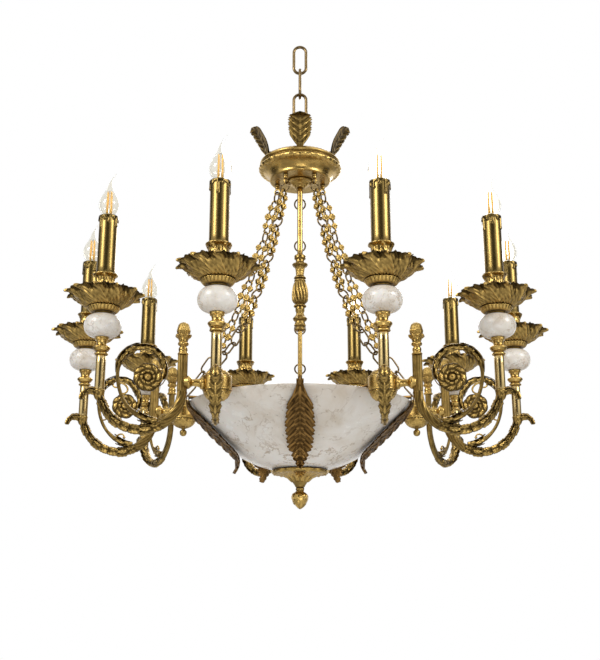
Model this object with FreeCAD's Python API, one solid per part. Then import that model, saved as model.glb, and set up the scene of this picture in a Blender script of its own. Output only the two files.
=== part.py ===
import FreeCAD, Part
import math
import os

# Ten-light hanging fixture of cast brass and alabaster, hung from an oblong-link chain.
# Lengths are in millimetres. Heights are measured from the middle of the alabaster balls,
# and save() lowers every piece so that the hanging point in the top link is the origin.

Vector = FreeCAD.Vector
os.makedirs("parts", exist_ok=True)

# ---- driving dimensions ----
SEAT_GAP = 0.3            # between curved pieces that rest on each other
THREAD_GAP = 0.2          # all round a rod or a pipe in its hole

candle_count = 10
hub_count = 5
candle_ring_radius = 391.0
hub_ring_radius = 229.0

# ceiling chain
link_length = 65.0
link_width = 30.0
link_wire = 6.0

# crown
loop_top = 489.0
loop_length = 62.0
loop_boss_width = 17.0
loop_boss_height = 24.0
crown_floor = 352.0
crown_wall = 3.0
crown_rim_radius = 74.0
crown_leaf_height = 60.0
crown_leaf_width = 40.0
crown_leaf_thickness = 3.0
crown_boss_radius = 26.0
crown_boss_height = 13.0
peg_circle_radius = 46.0
peg_width = 9.0
peg_length = 9.0

# rod and turned column
rod_width = 8.0
rod_cover_width = 10.5
column_top = 204.0
column_neck_height = 48.0
column_vase_height = 55.0
column_bell_height = 46.0

# swag chains
swag_wire = 3.2
swag_ring_width = 24.0
flower_link_length = 71.4
flower_link_width = 15.0
flower_radius = 4.2
oval_link_length = 35.4
oval_link_width = 17.0
hook_length = 36.4
hook_width = 20.0
hook_gap = 6.0
eye_width = 13.0
eye_wire = 3.0

# bowl and what carries it
bowl_rim_radius = 202.0
bowl_rim_height = -88.0
bowl_bottom = -203.0
bowl_wall = 10.0
spider_bar_width = 12.0
spider_bar_height = 4.0
spider_disc_radius = 32.0
spider_lift = 4.0
bracket_width = 52.0
bracket_thickness = 6.0
bracket_cap_width = 20.0
bracket_tip = -214.0
cup_rim_radius = 50.0
cup_height = 29.0
finial_width = 27.0
finial_height = 37.0

# hubs
hub_width = 48.0
hub_height = 24.0
hub_middle = -85.0
hub_dome_height = 14.0
hub_cup_height = 18.0
hub_ball_width = 13.0

# arms
spool_width = 21.0
upright_offset = 57.0
arm_depth = 16.0
arm_thickness = 10.0
bow_middle = -100.0
upright_top = -40.0
arm_collar_height = 21.0
acorn_width = 24.0
acorn_height = 34.0
curl_radius = 15.0
scroll_wire = 8.0
rosette_width = 48.0
rosette_thickness = 14.0

# candles
ball_width = 60.0
ball_height = 38.0
stem_width = 16.0
stem_height = 56.0
stem_collar_height = 29.0
candle_pipe_width = 10.0
fluted_cup_width = 51.0
fluted_cup_height = 12.0
fluted_cup_neck = 29.0
flute_count = 24
bobeche_width = 122.0
bobeche_height = 26.0
bobeche_wall = 2.5
bobeche_lobes = 11
candle_cup_height = 56.0
candle_cup_width = 38.0
sleeve_width = 30.0
sleeve_wall = 1.2
sleeve_show = 100.0
sleeve_seat = 5.0
holder_width = 25.0
socket_width = 14.5
socket_depth = 27.0

# bent-tip candle bulbs with a 14 mm screw cap
cap_width = 13.9
cap_height = 26.0
glass_width = 35.0
glass_wall = 0.9
glass_height = 78.0
tip_lean = 9.0


# ---- shaping helpers ----
def outline(points):
    """Wire through (a, b) points in the XZ plane. A third number bulges the run to that point."""
    edges = []
    for before, after in zip(points, points[1:] + points[:1]):
        start = Vector(before[0], 0, before[1])
        end = Vector(after[0], 0, after[1])
        run = end - start
        if run.Length < 1e-6:
            continue
        if len(after) == 3:
            side = Vector(run.z, 0, -run.x).normalize()
            middle = (start + end) * 0.5 + side * after[2]
            edges.append(Part.Arc(start, middle, end).toShape())
        else:
            edges.append(Part.makeLine(start, end))
    return Part.Wire(edges)


def turned(points):
    """Solid of revolution about Z from an outline of (radius, height) points."""
    return Part.Face(outline(points)).revolve(Vector(0, 0, 0), Vector(0, 0, 1), 360)


def disc(radius, bottom, top, hole=0.0):
    body = Part.makeCylinder(radius, top - bottom, Vector(0, 0, bottom))
    if hole > 0:
        body = body.cut(Part.makeCylinder(hole, top - bottom, Vector(0, 0, bottom)))
    return body


def fused(shapes):
    whole = shapes[0]
    if len(shapes) > 1:
        whole = whole.multiFuse(shapes[1:]).removeSplitter()
    return whole.Solids[0] if len(whole.Solids) == 1 else whole


def moved(shape, x=0.0, y=0.0, z=0.0, turn=0.0):
    """Copy turned about Z, then shifted."""
    copy = shape.copy()
    copy.rotate(Vector(0, 0, 0), Vector(0, 0, 1), turn)
    copy.translate(Vector(x, y, z))
    return copy


def at_azimuth(shape, azimuth, radius=0.0):
    """Copy whose +X side faces outwards at an azimuth counted from the front, -Y, towards +X."""
    along = math.radians(azimuth)
    return moved(shape, radius * math.sin(along), -radius * math.cos(along), 0, azimuth - 90)


hub_step = 360.0 / hub_count
hub_azimuths = [hub_step * (i + 0.5) for i in range(hub_count)]
bracket_azimuths = [hub_step * i for i in range(hub_count)]
half_spread = 180.0 / candle_count
candle_azimuths = [half_spread * (2 * i + 1) for i in range(candle_count)]

# from a hub's axis to a candle's axis, seen from above
candle_out = candle_ring_radius * math.cos(math.radians(half_spread)) - hub_ring_radius
candle_side = candle_ring_radius * math.sin(math.radians(half_spread))
arm_reach = math.hypot(candle_out, candle_side)
arm_splay = math.degrees(math.atan2(candle_side, candle_out))


def to_hubs(shape):
    return [at_azimuth(shape, azimuth, hub_ring_radius) for azimuth in hub_azimuths]


def to_arms(shape):
    """Copies for the ten arms of a shape drawn from its hub's axis outwards along +X."""
    copies = []
    for azimuth in hub_azimuths:
        for side in (-1, 1):
            along = math.radians(azimuth)
            arm = moved(shape, turn=azimuth - 90 + side * arm_splay)
            arm.translate(Vector(math.sin(along), -math.cos(along), 0) * hub_ring_radius)
            copies.append(arm)
    return copies


def to_candles(shape):
    return [at_azimuth(shape, azimuth, candle_ring_radius) for azimuth in candle_azimuths]


def save(name, shapes):
    """Lower the solids to the hanging point and write them as one node."""
    solids = []
    for shape in shapes:
        for solid in shape.Solids:
            lowered = solid.copy()
            lowered.translate(Vector(0, 0, -hang_height))
            solids.append(lowered)
    whole = solids[0] if len(solids) == 1 else Part.makeCompound(solids)
    whole.exportStep("parts/" + name + ".step")
    bad = [solid for solid in solids if not solid.isValid() or solid.Volume <= 0]
    print(name, len(solids), "solids", "BAD" if bad else "")


class Track:
    """A path in the XZ plane of straight runs and arcs that meet without a kink."""

    def __init__(self, x, z, heading):
        self.x = x
        self.z = z
        self.heading = heading
        self.edges = []
        self.start = Vector(x, 0, z)
        self.first_heading = heading

    def ahead(self, length):
        along = math.radians(self.heading)
        before = Vector(self.x, 0, self.z)
        self.x += length * math.cos(along)
        self.z += length * math.sin(along)
        self.edges.append(Part.makeLine(before, Vector(self.x, 0, self.z)))
        return self

    def bend(self, radius, turn):
        """Arc of a radius through a turn in degrees, positive to the left."""
        side = 1 if turn > 0 else -1
        points = [Vector(self.x, 0, self.z)]
        for part in (0.5, 1.0):
            half = abs(turn) * part / 2
            chord = 2 * radius * math.sin(math.radians(half))
            along = math.radians(self.heading + side * half)
            points.append(points[0] + Vector(math.cos(along), 0, math.sin(along)) * chord)
        self.edges.append(Part.Arc(*points).toShape())
        self.x, self.z = points[2].x, points[2].z
        self.heading += turn
        return self

    def bar(self, depth, thickness):
        """Oval bar along the track, depth across it in the XZ plane and thickness along Y."""
        along = math.radians(self.first_heading)
        axis = Vector(math.cos(along), 0, math.sin(along))
        across = Vector(-axis.z, 0, axis.x)
        if depth > thickness:
            oval = Part.Ellipse(self.start + across * depth / 2,
                                self.start + Vector(0, thickness / 2, 0), self.start)
        else:
            oval = Part.Circle(self.start, axis, depth / 2)
        return Part.Wire(self.edges).makePipeShell([Part.Wire(oval.toShape())], True, False)

    def ribbon(self, width, thickness):
        """Flat strip along a track that starts upright, its width along Y."""
        edge = thickness / 2
        corners = [self.start + Vector(x, y, 0)
                   for x, y in ((-edge, -width / 2), (edge, -width / 2), (edge, width / 2), (-edge, width / 2))]
        strip = Part.makePolygon(corners + corners[:1])
        return Part.Wire(self.edges).makePipeShell([strip], True, False)


# ---- ceiling chain ----
def link(length, width, wire):
    """Oblong wire link in the XZ plane, centred on the origin."""
    bend = (width - wire) / 2
    straight = length / 2 - wire / 2 - bend
    pieces = []
    for side in (-1, 1):
        leg = Part.makeCylinder(wire / 2, 2 * straight, Vector(side * bend, 0, -straight))
        end = Part.Face(Part.Wire(Part.Circle(Vector(bend, 0, 0), Vector(0, 0, 1), wire / 2).toShape()))
        end = end.revolve(Vector(0, 0, 0), Vector(0, -1, 0), side * 180)
        end.translate(Vector(0, 0, side * straight))
        pieces += [leg, end]
    return fused(pieces)


link_pitch = link_length - 2 * link_wire - SEAT_GAP
link_3_middle = loop_top - 2 * link_wire - SEAT_GAP + link_length / 2
link_2_middle = link_3_middle + link_pitch
link_1_middle = link_2_middle + link_pitch
hang_height = link_1_middle + link_length / 2 - link_wire

ceiling_link = link(link_length, link_width, link_wire)
save("ceiling_link_1", [moved(ceiling_link, z=link_1_middle)])
save("ceiling_link_2", [moved(ceiling_link, z=link_2_middle, turn=90)])
save("ceiling_link_3", [moved(ceiling_link, z=link_3_middle)])

# ---- crown ----
rod_hole = rod_width / 2 + THREAD_GAP
nut_height = 8.0
nut_width = 16.0
crown_inner_floor = crown_floor + crown_wall
loop_boss_bottom = crown_inner_floor + nut_height
loop_boss_top = loop_top - loop_length + link_wire
rod_top = loop_boss_bottom + loop_boss_height - 2
crown_rim_top = crown_floor + 40.0
crown_bead = 4.0
crown_rim_inner = crown_rim_radius - 6


def crown_loop():
    """Closed loop on a boss that screws on the top of the rod."""
    ring = moved(link(loop_length, link_width, link_wire), z=loop_top - loop_length / 2, turn=90)
    boss_width = loop_boss_width / 2
    boss = turned([(0, loop_boss_bottom), (boss_width, loop_boss_bottom),
                   (boss_width, loop_boss_bottom + loop_boss_height),
                   (boss_width - 4, loop_boss_top, 1.5), (0, loop_boss_top)])
    bore = Part.makeCylinder(rod_hole, rod_top - loop_boss_bottom + 1, Vector(0, 0, loop_boss_bottom))
    return fused([ring, boss]).cut(bore)


def crown_dish():
    """Cast dish: flat floor, lower bead, swelling band and a corded rim."""
    rim = crown_rim_radius
    lower = rim - 16
    return turned([(rod_hole, crown_floor), (lower - 4, crown_floor),
                   (lower, crown_floor + 5, 2.4), (rim + 2, crown_floor + 21, -3),
                   (rim + 3, crown_floor + 29, 2), (rim - 1, crown_rim_top - 2 * crown_bead),
                   (rim - 1, crown_rim_top, crown_bead), (crown_rim_inner, crown_rim_top, 2),
                   (crown_rim_inner, crown_rim_top - 2 * crown_bead),
                   (rim - 2, crown_floor + 25), (lower - crown_wall, crown_inner_floor, 3),
                   (rod_hole, crown_inner_floor)])


def toothed(width, height, tiers, base_share, tooth):
    """Half outline of a lobed leaf: (distance from midrib, height) points from base to tip."""
    half = [(width / 2 * base_share, 0)]
    for tier in range(tiers):
        low = tier / tiers
        high = (tier + 1) / tiers
        reach = width / 2 * math.sin(math.pi * (0.28 + 0.62 * (low + high) / 2)) ** 0.8
        half.append((reach * (1 - tooth), height * (low + 0.25 / tiers)))
        half.append((reach, height * (low + 0.8 / tiers)))
        half.append((reach * (1 - 1.6 * tooth), height * high - height * 0.06 / tiers))
    half.append((0, height * 1.02))
    return half


def leaf_blank(half, depth):
    """Leaf outline in the YZ plane, extruded along X from -depth to depth."""
    loop = [Vector(-depth, y, z) for y, z in half]
    loop += [Vector(-depth, -y, z) for y, z in reversed(half[:-1])]
    face = Part.Face(Part.makePolygon(loop + loop[:1]))
    return face.extrude(Vector(2 * depth, 0, 0))


def crown_leaf():
    """Upright acanthus leaf that stands in the dish's rim and leans out to a curled tip."""
    foot = crown_rim_top - 3 * crown_bead
    lean = Track(crown_rim_inner - crown_leaf_thickness / 2 - 3 * SEAT_GAP, foot, 90)
    lean.ahead(crown_rim_top - foot)
    lean.bend(95.0, 9).bend(60.0, -38).bend(11.0, -110)
    shoulder = crown_rim_top + crown_bead
    stalk = crown_leaf_width / 5
    half = [(stalk, foot), (stalk, shoulder)]
    half += [(y, z + shoulder) for y, z in toothed(crown_leaf_width, crown_leaf_height, 4, 0.55, 0.16)]
    sheet = lean.ribbon(crown_leaf_width, crown_leaf_thickness)
    return sheet.common(leaf_blank(half, 2 * crown_rim_radius))


boss_top = crown_floor
boss_bottom = crown_floor - crown_boss_height


def crown_boss():
    """Dished washer that closes the crown's underside round the rod."""
    edge = crown_boss_radius
    return turned([(rod_hole, boss_bottom), (rod_cover_width / 2 + 4, boss_bottom),
                   (edge, boss_top - 3, -2), (edge, boss_top), (rod_hole, boss_top)])


eye_radius = (eye_width - eye_wire) / 2
peg_bottom = crown_floor - peg_length
eye_middle = peg_bottom - eye_radius - eye_wire / 4


def chain_peg():
    """Turned peg under the crown with an eye for the swag chain."""
    neck = peg_width / 2
    peg = turned([(0, peg_bottom), (neck - 1, peg_bottom), (neck, peg_bottom + 1),
                  (neck, crown_floor), (0, crown_floor)])
    eye = Part.makeTorus(eye_radius, eye_wire / 2, Vector(0, 0, eye_middle), Vector(0, 1, 0))
    return fused([peg, eye])


save("crown_loop", [crown_loop()])
save("crown_dish", [crown_dish()])
save("crown_leaves", [at_azimuth(crown_leaf(), azimuth) for azimuth in bracket_azimuths])
save("crown_boss", [crown_boss()])
save("chain_pegs", [at_azimuth(chain_peg(), azimuth, peg_circle_radius) for azimuth in hub_azimuths])

# ---- rod and turned column ----
column_bottom = column_top - column_neck_height - column_vase_height - column_bell_height
cup_bottom = bowl_bottom - cup_height
rod_bottom = cup_bottom - 14.0
spider_bottom = bowl_rim_height + spider_lift
spider_top = spider_bottom + spider_bar_height


def hex_nut(bottom):
    nut = Part.makePolygon([Vector(nut_width / 2 * math.cos(math.pi * i / 3),
                                   nut_width / 2 * math.sin(math.pi * i / 3), bottom)
                            for i in range(7)])
    nut = Part.Face(nut).extrude(Vector(0, 0, nut_height))
    return nut.cut(Part.makeCylinder(rod_hole, nut_height, Vector(0, 0, bottom)))


def column_neck():
    """Bead, flared ring and a taper to the vase below."""
    top = column_top
    bottom = top - column_neck_height
    return turned([(rod_hole, bottom), (10.5, bottom), (10.5, bottom + 3, 1), (7.5, bottom + 6),
                   (10.5, top - 24, -1), (13.5, top - 22, 1), (13.5, top - 19, 1), (8, top - 15, -1),
                   (8, top - 10), (10.5, top - 6, 1.5), (8, top - 1, 1.5), (6, top), (rod_hole, top)])


def column_vase():
    """Vase that swells towards its foot, with a ring above the foot."""
    top = column_top - column_neck_height
    bottom = top - column_vase_height
    return turned([(rod_hole, bottom), (10.5, bottom), (10.5, bottom + 3, 1), (8, bottom + 5),
                   (14, bottom + 17, 2), (9.5, top - 6, 2), (10.5, top - 3, 1), (9, top),
                   (rod_hole, top)])


def column_bell():
    """Bell, bead and foot that end the column."""
    top = column_top - column_neck_height - column_vase_height
    bottom = column_bottom
    return turned([(rod_hole, bottom), (8, bottom), (10, bottom + 4, 1), (8, bottom + 8),
                   (10, bottom + 12, 1.5), (9, bottom + 18), (13.5, bottom + 24, 1),
                   (8.5, top - 6, -4), (8.5, top), (rod_hole, top)])


save("rod_nuts", [hex_nut(crown_inner_floor), hex_nut(spider_top), hex_nut(spider_bottom - nut_height),
                  hex_nut(bowl_bottom + bowl_wall)])
save("central_rod", [disc(rod_width / 2, rod_bottom, rod_top)])
save("upper_tube", [disc(rod_cover_width / 2, column_top, boss_bottom, rod_hole)])
save("column_turnings", [column_neck(), column_vase(), column_bell()])


# ---- swag chains ----
def flower_link():
    """Openwork link: an oblong ring with three small flowers along each side."""
    side = (flower_link_width - swag_wire) / 2
    pieces = [link(flower_link_length, flower_link_width, swag_wire)]
    for along, radius in ((-1, flower_radius), (0, flower_radius * 1.2), (1, flower_radius)):
        for left in (-1, 1):
            height = along * flower_link_length * 0.26
            pieces.append(Part.makeSphere(radius, Vector(left * side, 0, height)))
    return fused(pieces)


def chain_hook():
    """Open hook bent from wire, with its mouth on one side."""
    mouth = Part.makeBox(hook_width, swag_wire * 2, hook_gap, Vector(0, -swag_wire, hook_gap / 2))
    return link(hook_length, hook_width, swag_wire).cut(mouth)


swag_ring = Part.makeTorus((swag_ring_width - swag_wire) / 2, swag_wire / 2,
                           Vector(0, 0, 0), Vector(0, 1, 0))
swag_pieces = {
    "ring": (swag_ring, swag_ring_width),
    "flower": (flower_link(), flower_link_length),
    "hook": (chain_hook(), hook_length),
    "oval": (link(oval_link_length, oval_link_width, swag_wire), oval_link_length),
}
swag_order = ["ring", "flower"] * 4 + ["ring", "hook", "oval", "oval"]
swag_hole = eye_wire / 2 + 2 * SEAT_GAP
hub_top = hub_middle + hub_height / 2
hub_eye_middle = hub_top + hub_dome_height + eye_radius
swag_slope = math.atan2(eye_middle - hub_eye_middle - 2 * eye_radius, hub_ring_radius - peg_circle_radius)
swag_in = (swag_hole * math.cos(swag_slope), swag_hole * math.sin(swag_slope))
swag_start = (peg_circle_radius - swag_in[0], eye_middle - eye_radius + swag_in[1])
swag_end = (hub_ring_radius + swag_in[0], hub_eye_middle + eye_radius - swag_in[1])


def hanging_curve(start, end, length):
    """Scale and lowest point of the catenary of a length from start down to end."""
    across = end[0] - start[0]
    drop = end[1] - start[1]
    target = math.sqrt(length ** 2 - drop ** 2)
    low, high = across / 40, across * 40
    for _ in range(80):
        scale = (low + high) / 2
        if 2 * scale * math.sinh(across / (2 * scale)) > target:
            low = scale
        else:
            high = scale
    middle = (start[0] + end[0]) / 2 - scale * math.atanh(drop / length)
    return scale, middle


def swag_chain():
    """Pieces of one chain in the XZ plane, as (kind, solid), hung along a catenary."""
    steps = [swag_pieces[kind][1] - 2 * swag_wire - SEAT_GAP for kind in swag_order]
    length = sum(steps)
    scale, middle = hanging_curve(swag_start, swag_end, length)
    begin = math.sinh((swag_start[0] - middle) / scale)
    placed = []
    done = 0.0
    places = []
    for step in [0.0] + steps:
        done += step
        r = middle + scale * math.asinh(begin + done / scale)
        lift = scale * (math.cosh((r - middle) / scale) - math.cosh((swag_start[0] - middle) / scale))
        places.append(Vector(r, 0, swag_start[1] + lift))
    for number, kind in enumerate(swag_order):
        above, below = places[number], places[number + 1]
        run = below - above
        solid = swag_pieces[kind][0].copy()
        if number % 2 == 0:
            solid.rotate(Vector(0, 0, 0), Vector(0, 0, 1), 90)
        solid.rotate(Vector(0, 0, 0), Vector(0, 1, 0), math.degrees(math.atan2(-run.x, -run.z)))
        solid.translate((above + below) * 0.5)
        placed.append((kind, solid))
    print("swag chain length", round(length, 1), "straight", round((places[-1] - places[0]).Length, 1))
    return placed


chain = swag_chain()
node_of_kind = {"ring": "swag_rings", "flower": "flower_links", "hook": "chain_hooks", "oval": "oval_links"}
for kind, node in node_of_kind.items():
    save(node, [at_azimuth(solid, azimuth) for azimuth in hub_azimuths
                for placed_kind, solid in chain if placed_kind == kind])


# ---- bowl and what carries it ----
# outside of the bowl from the rim to its flat foot: radius and height as shares of the rim's
# radius and the bowl's depth, the wall's slope there in degrees, and the bulge of the run to it
bowl_depth = bowl_rim_height - bowl_bottom
bowl_shape = [(1.0, 0.0, 0, 0), (0.792, 0.39, 47, -4.0), (0.52, 0.785, 58, -1.2), (0.15, 1.0, 90, -4.0)]


def bowl_outline(inset):
    """Points of the bowl's surface, moved into the stone by an inset."""
    points = []
    for share, depth, slope, bulge in bowl_shape:
        along = math.radians(slope)
        points.append((bowl_rim_radius * share - inset * math.cos(along),
                       bowl_rim_height - bowl_depth * depth + inset * math.sin(along), bulge))
    return points


def alabaster_bowl():
    """Bowl cut from stone, with a softly crowned rim and a hole in its foot for the rod."""
    outer = bowl_outline(0)
    inner = bowl_outline(bowl_wall)
    hole = rod_hole + 1
    points = [outer[0][:2]] + outer[1:] + [(hole, bowl_bottom), (hole, bowl_bottom + bowl_wall)]
    points.append(inner[3][:2])
    for number in (2, 1, 0):
        points.append((inner[number][0], inner[number][1], -inner[number + 1][2]))
    points.append((bowl_rim_radius - bowl_wall / 2, bowl_rim_height + 1.2))
    return turned(points)


bracket_bend = 30.0
bracket_top = hub_top + SEAT_GAP * 4
bracket_radius = bowl_rim_radius + 5.0


def bowl_bracket():
    """Cast leaf that hooks over the rim, follows the bowl down and turns out at its tip."""
    line = Track(bracket_radius, bracket_top, -90)
    line.ahead(bracket_top - bowl_rim_height - 3).bend(bracket_bend, -47.4).ahead(104)
    line.bend(20, 50).bend(25, 30).ahead(6)
    shoulder = bracket_top - 3
    cap = bracket_cap_width / 2
    half = [(cap, bracket_top + 1), (cap, shoulder)]
    half += [(y, shoulder - z)
             for y, z in toothed(bracket_width, shoulder - bracket_tip, 6, 0.3, 0.14)]
    sheet = line.ribbon(bracket_width, bracket_thickness)
    return sheet.common(leaf_blank(half, 2 * bowl_rim_radius))


def bowl_spider():
    """Disc on the rod with flat bars that reach over the rim to the hubs and the brackets."""
    pieces = [disc(spider_disc_radius, spider_bottom, spider_top)]
    reach = {0: bracket_radius - bracket_thickness / 2, 1: hub_ring_radius}
    for which, azimuths in ((0, bracket_azimuths), (1, hub_azimuths)):
        bar = Part.makeBox(reach[which], spider_bar_width, spider_bar_height,
                           Vector(0, -spider_bar_width / 2, spider_bottom))
        pieces += [at_azimuth(bar, azimuth) for azimuth in azimuths]
    spider = fused(pieces).cut(Part.makeCylinder(rod_hole, 20, Vector(0, 0, spider_bottom - 5)))
    for hub in to_hubs(disc(hub_width / 2, hub_middle - hub_height, hub_middle + hub_height)):
        spider = spider.cut(hub)
    return spider


def bottom_cup():
    """Bell cup under the bowl, its leafy lip rolled outwards, with a neck for the finial."""
    rim = cup_rim_radius
    top = bowl_bottom
    bottom = cup_bottom
    return turned([(rod_hole, bottom), (6.5, bottom), (9, bottom + 3, 0.6), (rim - 4, top - 4.5, -6),
                   (rim, top - 3, 0.8), (rim - 1, top + 1, 1.2), (rim - 5, top - 1),
                   (rim * 0.6, top), (rod_hole, top)])


def bud_finial():
    """Leafy bud that screws on the end of the rod."""
    top = cup_bottom
    wide = finial_width / 2
    bore = Part.makeCylinder(rod_hole, cup_bottom - rod_bottom + 1, Vector(0, 0, rod_bottom - 1))
    return turned([(0, top - finial_height), (1.5, top - finial_height + 1, 0.3),
                   (wide, top - finial_height * 0.48, 2.5), (9, top - 10, 2), (6, top - 6, -0.6),
                   (7.5, top - 3, 0.6), (6.5, top, 0.6), (0, top)]).cut(bore)


save("alabaster_bowl", [alabaster_bowl()])
save("bowl_spider", [bowl_spider()])
save("bowl_brackets", [at_azimuth(bowl_bracket(), azimuth) for azimuth in bracket_azimuths])
save("bottom_cup", [bottom_cup()])
save("bud_finial", [bud_finial()])

# ---- hubs ----
hub_bottom = hub_middle - hub_height / 2
hub_cup_bottom = hub_bottom - hub_cup_height


def hub_dome():
    """Leafy dome on the hub with an eye for the end of the swag chain."""
    wide = hub_width / 2 - 5
    dome = turned([(0, hub_top), (wide, hub_top), (wide, hub_top + 3, 1), (9, hub_top + 9, 2),
                   (4, hub_top + hub_dome_height, 1), (0, hub_top + hub_dome_height)])
    eye = Part.makeTorus(eye_radius, eye_wire / 2, Vector(0, 0, hub_eye_middle), Vector(1, 0, 0))
    return fused([dome, eye])


def hub_drop():
    """Leafy cup under the hub that narrows to a neck and a ball."""
    wide = hub_width / 2 - 3
    ball = hub_ball_width / 2
    neck = ball / 2
    neck_bottom = hub_cup_bottom - 2
    ball_bottom = neck_bottom - 2 * ball + 1
    return turned([(0, ball_bottom), (ball, ball_bottom + ball, ball * 0.3),
                   (neck, neck_bottom, ball * 0.2), (neck, hub_cup_bottom), (2 * neck, hub_cup_bottom + 2, 0.6),
                   (wide, hub_bottom - 4, 2), (wide, hub_bottom, 1), (0, hub_bottom)])


save("hub_bodies", to_hubs(disc(hub_width / 2, hub_bottom, hub_top)))
save("hub_domes", to_hubs(hub_dome()))
save("hub_drops", to_hubs(hub_drop()))

# ---- arms: each lies in the upright plane from its hub's axis, X outwards ----
bow_radius = (arm_reach - upright_offset) / 2
arm_bar = (arm_depth, arm_thickness)
reeded_turn = 105.0
rosette_middle = (upright_offset + 1.15 * rosette_width, bow_middle + 20)
stem_bottom = bow_middle - 4
stem_top = stem_bottom + stem_height


def arm_bow():
    """Reeded bow that leaves the upright and runs down and out past the lowest point."""
    return Track(upright_offset, bow_middle, -90).bend(bow_radius, reeded_turn).bar(*arm_bar)


def arm_leaf():
    """Acanthus end of the bow: it rises under the candle and curls outwards over its tip."""
    run = Track(upright_offset, bow_middle, -90).bend(bow_radius, reeded_turn)
    leaf = Track(run.x, run.z, run.heading).bend(bow_radius, 165 - reeded_turn).bend(curl_radius, -165)
    seat = moved(disc(stem_width / 2 + 1, stem_bottom - arm_depth, stem_bottom), x=arm_reach)
    room = moved(disc(stem_width / 2 + SEAT_GAP, stem_bottom, stem_top), x=arm_reach)
    return fused([leaf.bar(*arm_bar), seat]).cut(room)


def arm_upright():
    """Fluted oval shaft above the bow."""
    return Track(upright_offset, bow_middle, 90).ahead(upright_top - bow_middle).bar(*arm_bar)


def arm_scroll():
    """Volute that springs from the bow, sweeps round and winds in to the rosette."""
    run = Track(upright_offset + 38, bow_middle - 50, 0).bend(62, 65).bend(95, 30).bend(38, 85)
    run.bend(36, 90).bend(30, 60)
    scroll = run.bar(scroll_wire, scroll_wire).cut(scroll_rosette()).cut(arm_bow())
    return max(scroll.Solids, key=lambda solid: solid.Volume)


def scroll_rosette():
    """Round flower with eight domed petals and a raised heart on both faces."""
    radius = rosette_width / 2
    half = rosette_thickness / 2
    pieces = [turned([(0, -half * 0.45), (radius, -half * 0.45), (radius, half * 0.45, 1), (0, half * 0.45)])]
    petal = Part.makeSphere(radius * 0.3).translated(Vector(radius * 0.6, 0, 0))
    for i in range(8):
        pieces.append(moved(petal, turn=45 * i))
    pieces.append(Part.makeSphere(half))
    flower = fused(pieces)
    flower.rotate(Vector(0, 0, 0), Vector(1, 0, 0), 90)
    flower.translate(Vector(rosette_middle[0], 0, rosette_middle[1]))
    return flower


def spool():
    """Turned spool between the hub and the upright."""
    hub_side = hub_width / 2 - 3
    length = upright_offset - hub_side
    edge = spool_width / 2
    body = turned([(0, 0), (edge, 0), (edge, 7), (7, 9, -1), (7, length - 13, -1), (edge, length - 11),
                   (edge, length - 8), (edge - 3, length), (0, length)])
    body.rotate(Vector(0, 0, 0), Vector(0, 1, 0), 90)
    body.translate(Vector(hub_side, 0, hub_middle))
    hub = disc(hub_width / 2, hub_middle - hub_height, hub_middle + hub_height)
    body = body.cut(hub).cut(arm_upright())
    return max(body.Solids, key=lambda solid: solid.Volume)


def arm_collar():
    """Turned collar on the upright."""
    top = upright_top + arm_collar_height
    wide = arm_depth / 2
    return moved(turned([(0, upright_top), (wide, upright_top), (wide, upright_top + 3, 1), (wide - 1, top - 9),
                         (wide - 2, top - 6, -1), (wide + 1, top - 2, 1), (wide, top), (0, top)]),
                 x=upright_offset)


def acorn_finial():
    """Acorn in a leafy cup."""
    bottom = upright_top + arm_collar_height
    top = bottom + acorn_height
    wide = acorn_width / 2
    return moved(turned([(0, bottom), (6, bottom), (wide, bottom + 10, -1.5), (wide, bottom + 12, 0.6),
                         (wide * 0.8, bottom + 14), (wide * 0.78, bottom + 24, 1), (1, top - 0.3, 2.5),
                         (0, top)]),
                 x=upright_offset)


save("spools", to_arms(spool()))
save("arm_uprights", to_arms(arm_upright()))
save("arm_bows", to_arms(arm_bow()))
save("arm_leaves", to_arms(arm_leaf()))
save("arm_scrolls", to_arms(arm_scroll()))
save("scroll_rosettes", to_arms(scroll_rosette()))
save("arm_collars", to_arms(arm_collar()))
save("acorn_finials", to_arms(acorn_finial()))

# ---- candles: each is stacked on its own axis, over the end of an arm ----
ball_bottom = stem_top + stem_collar_height
ball_top = ball_bottom + ball_height
fluted_top = ball_top + fluted_cup_height
bobeche_floor = fluted_top + bobeche_wall
candle_cup_top = fluted_top + candle_cup_height
cup_floor = candle_cup_top - sleeve_seat
sleeve_top = candle_cup_top + sleeve_show
holder_top = sleeve_top - 2.0
pipe_radius = candle_pipe_width / 2
pipe_hole = pipe_radius + THREAD_GAP
pipe_top = cup_floor + 12.0


def stem_tube():
    """Stem on the arm, its upper end turned down to the pipe that carries the candle's parts."""
    return fused([disc(stem_width / 2, stem_bottom, stem_top), disc(pipe_radius, stem_top, pipe_top)])


def stem_collar():
    """Turned collar under the ball: a ring, a waist and a wide top."""
    wide = stem_width / 2 + 4
    top = ball_bottom
    return turned([(pipe_hole, stem_top), (wide - 2, stem_top), (wide - 2, stem_top + 3, 1),
                   (wide - 4, stem_top + 5), (wide, stem_top + 9, 1), (wide, stem_top + 14, 1.5),
                   (wide - 4, stem_top + 17, -1), (wide - 3, top - 5), (wide - 1, top - 3, 1),
                   (wide - 1, top, 1), (pipe_hole, top)])


def alabaster_ball():
    half = ball_width / 2
    foot = half * 0.45
    swell = 5.0
    return turned([(pipe_hole, ball_bottom), (foot, ball_bottom),
                   (half, ball_bottom + ball_height / 2, swell), (foot, ball_top, swell),
                   (pipe_hole, ball_top)])


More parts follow.
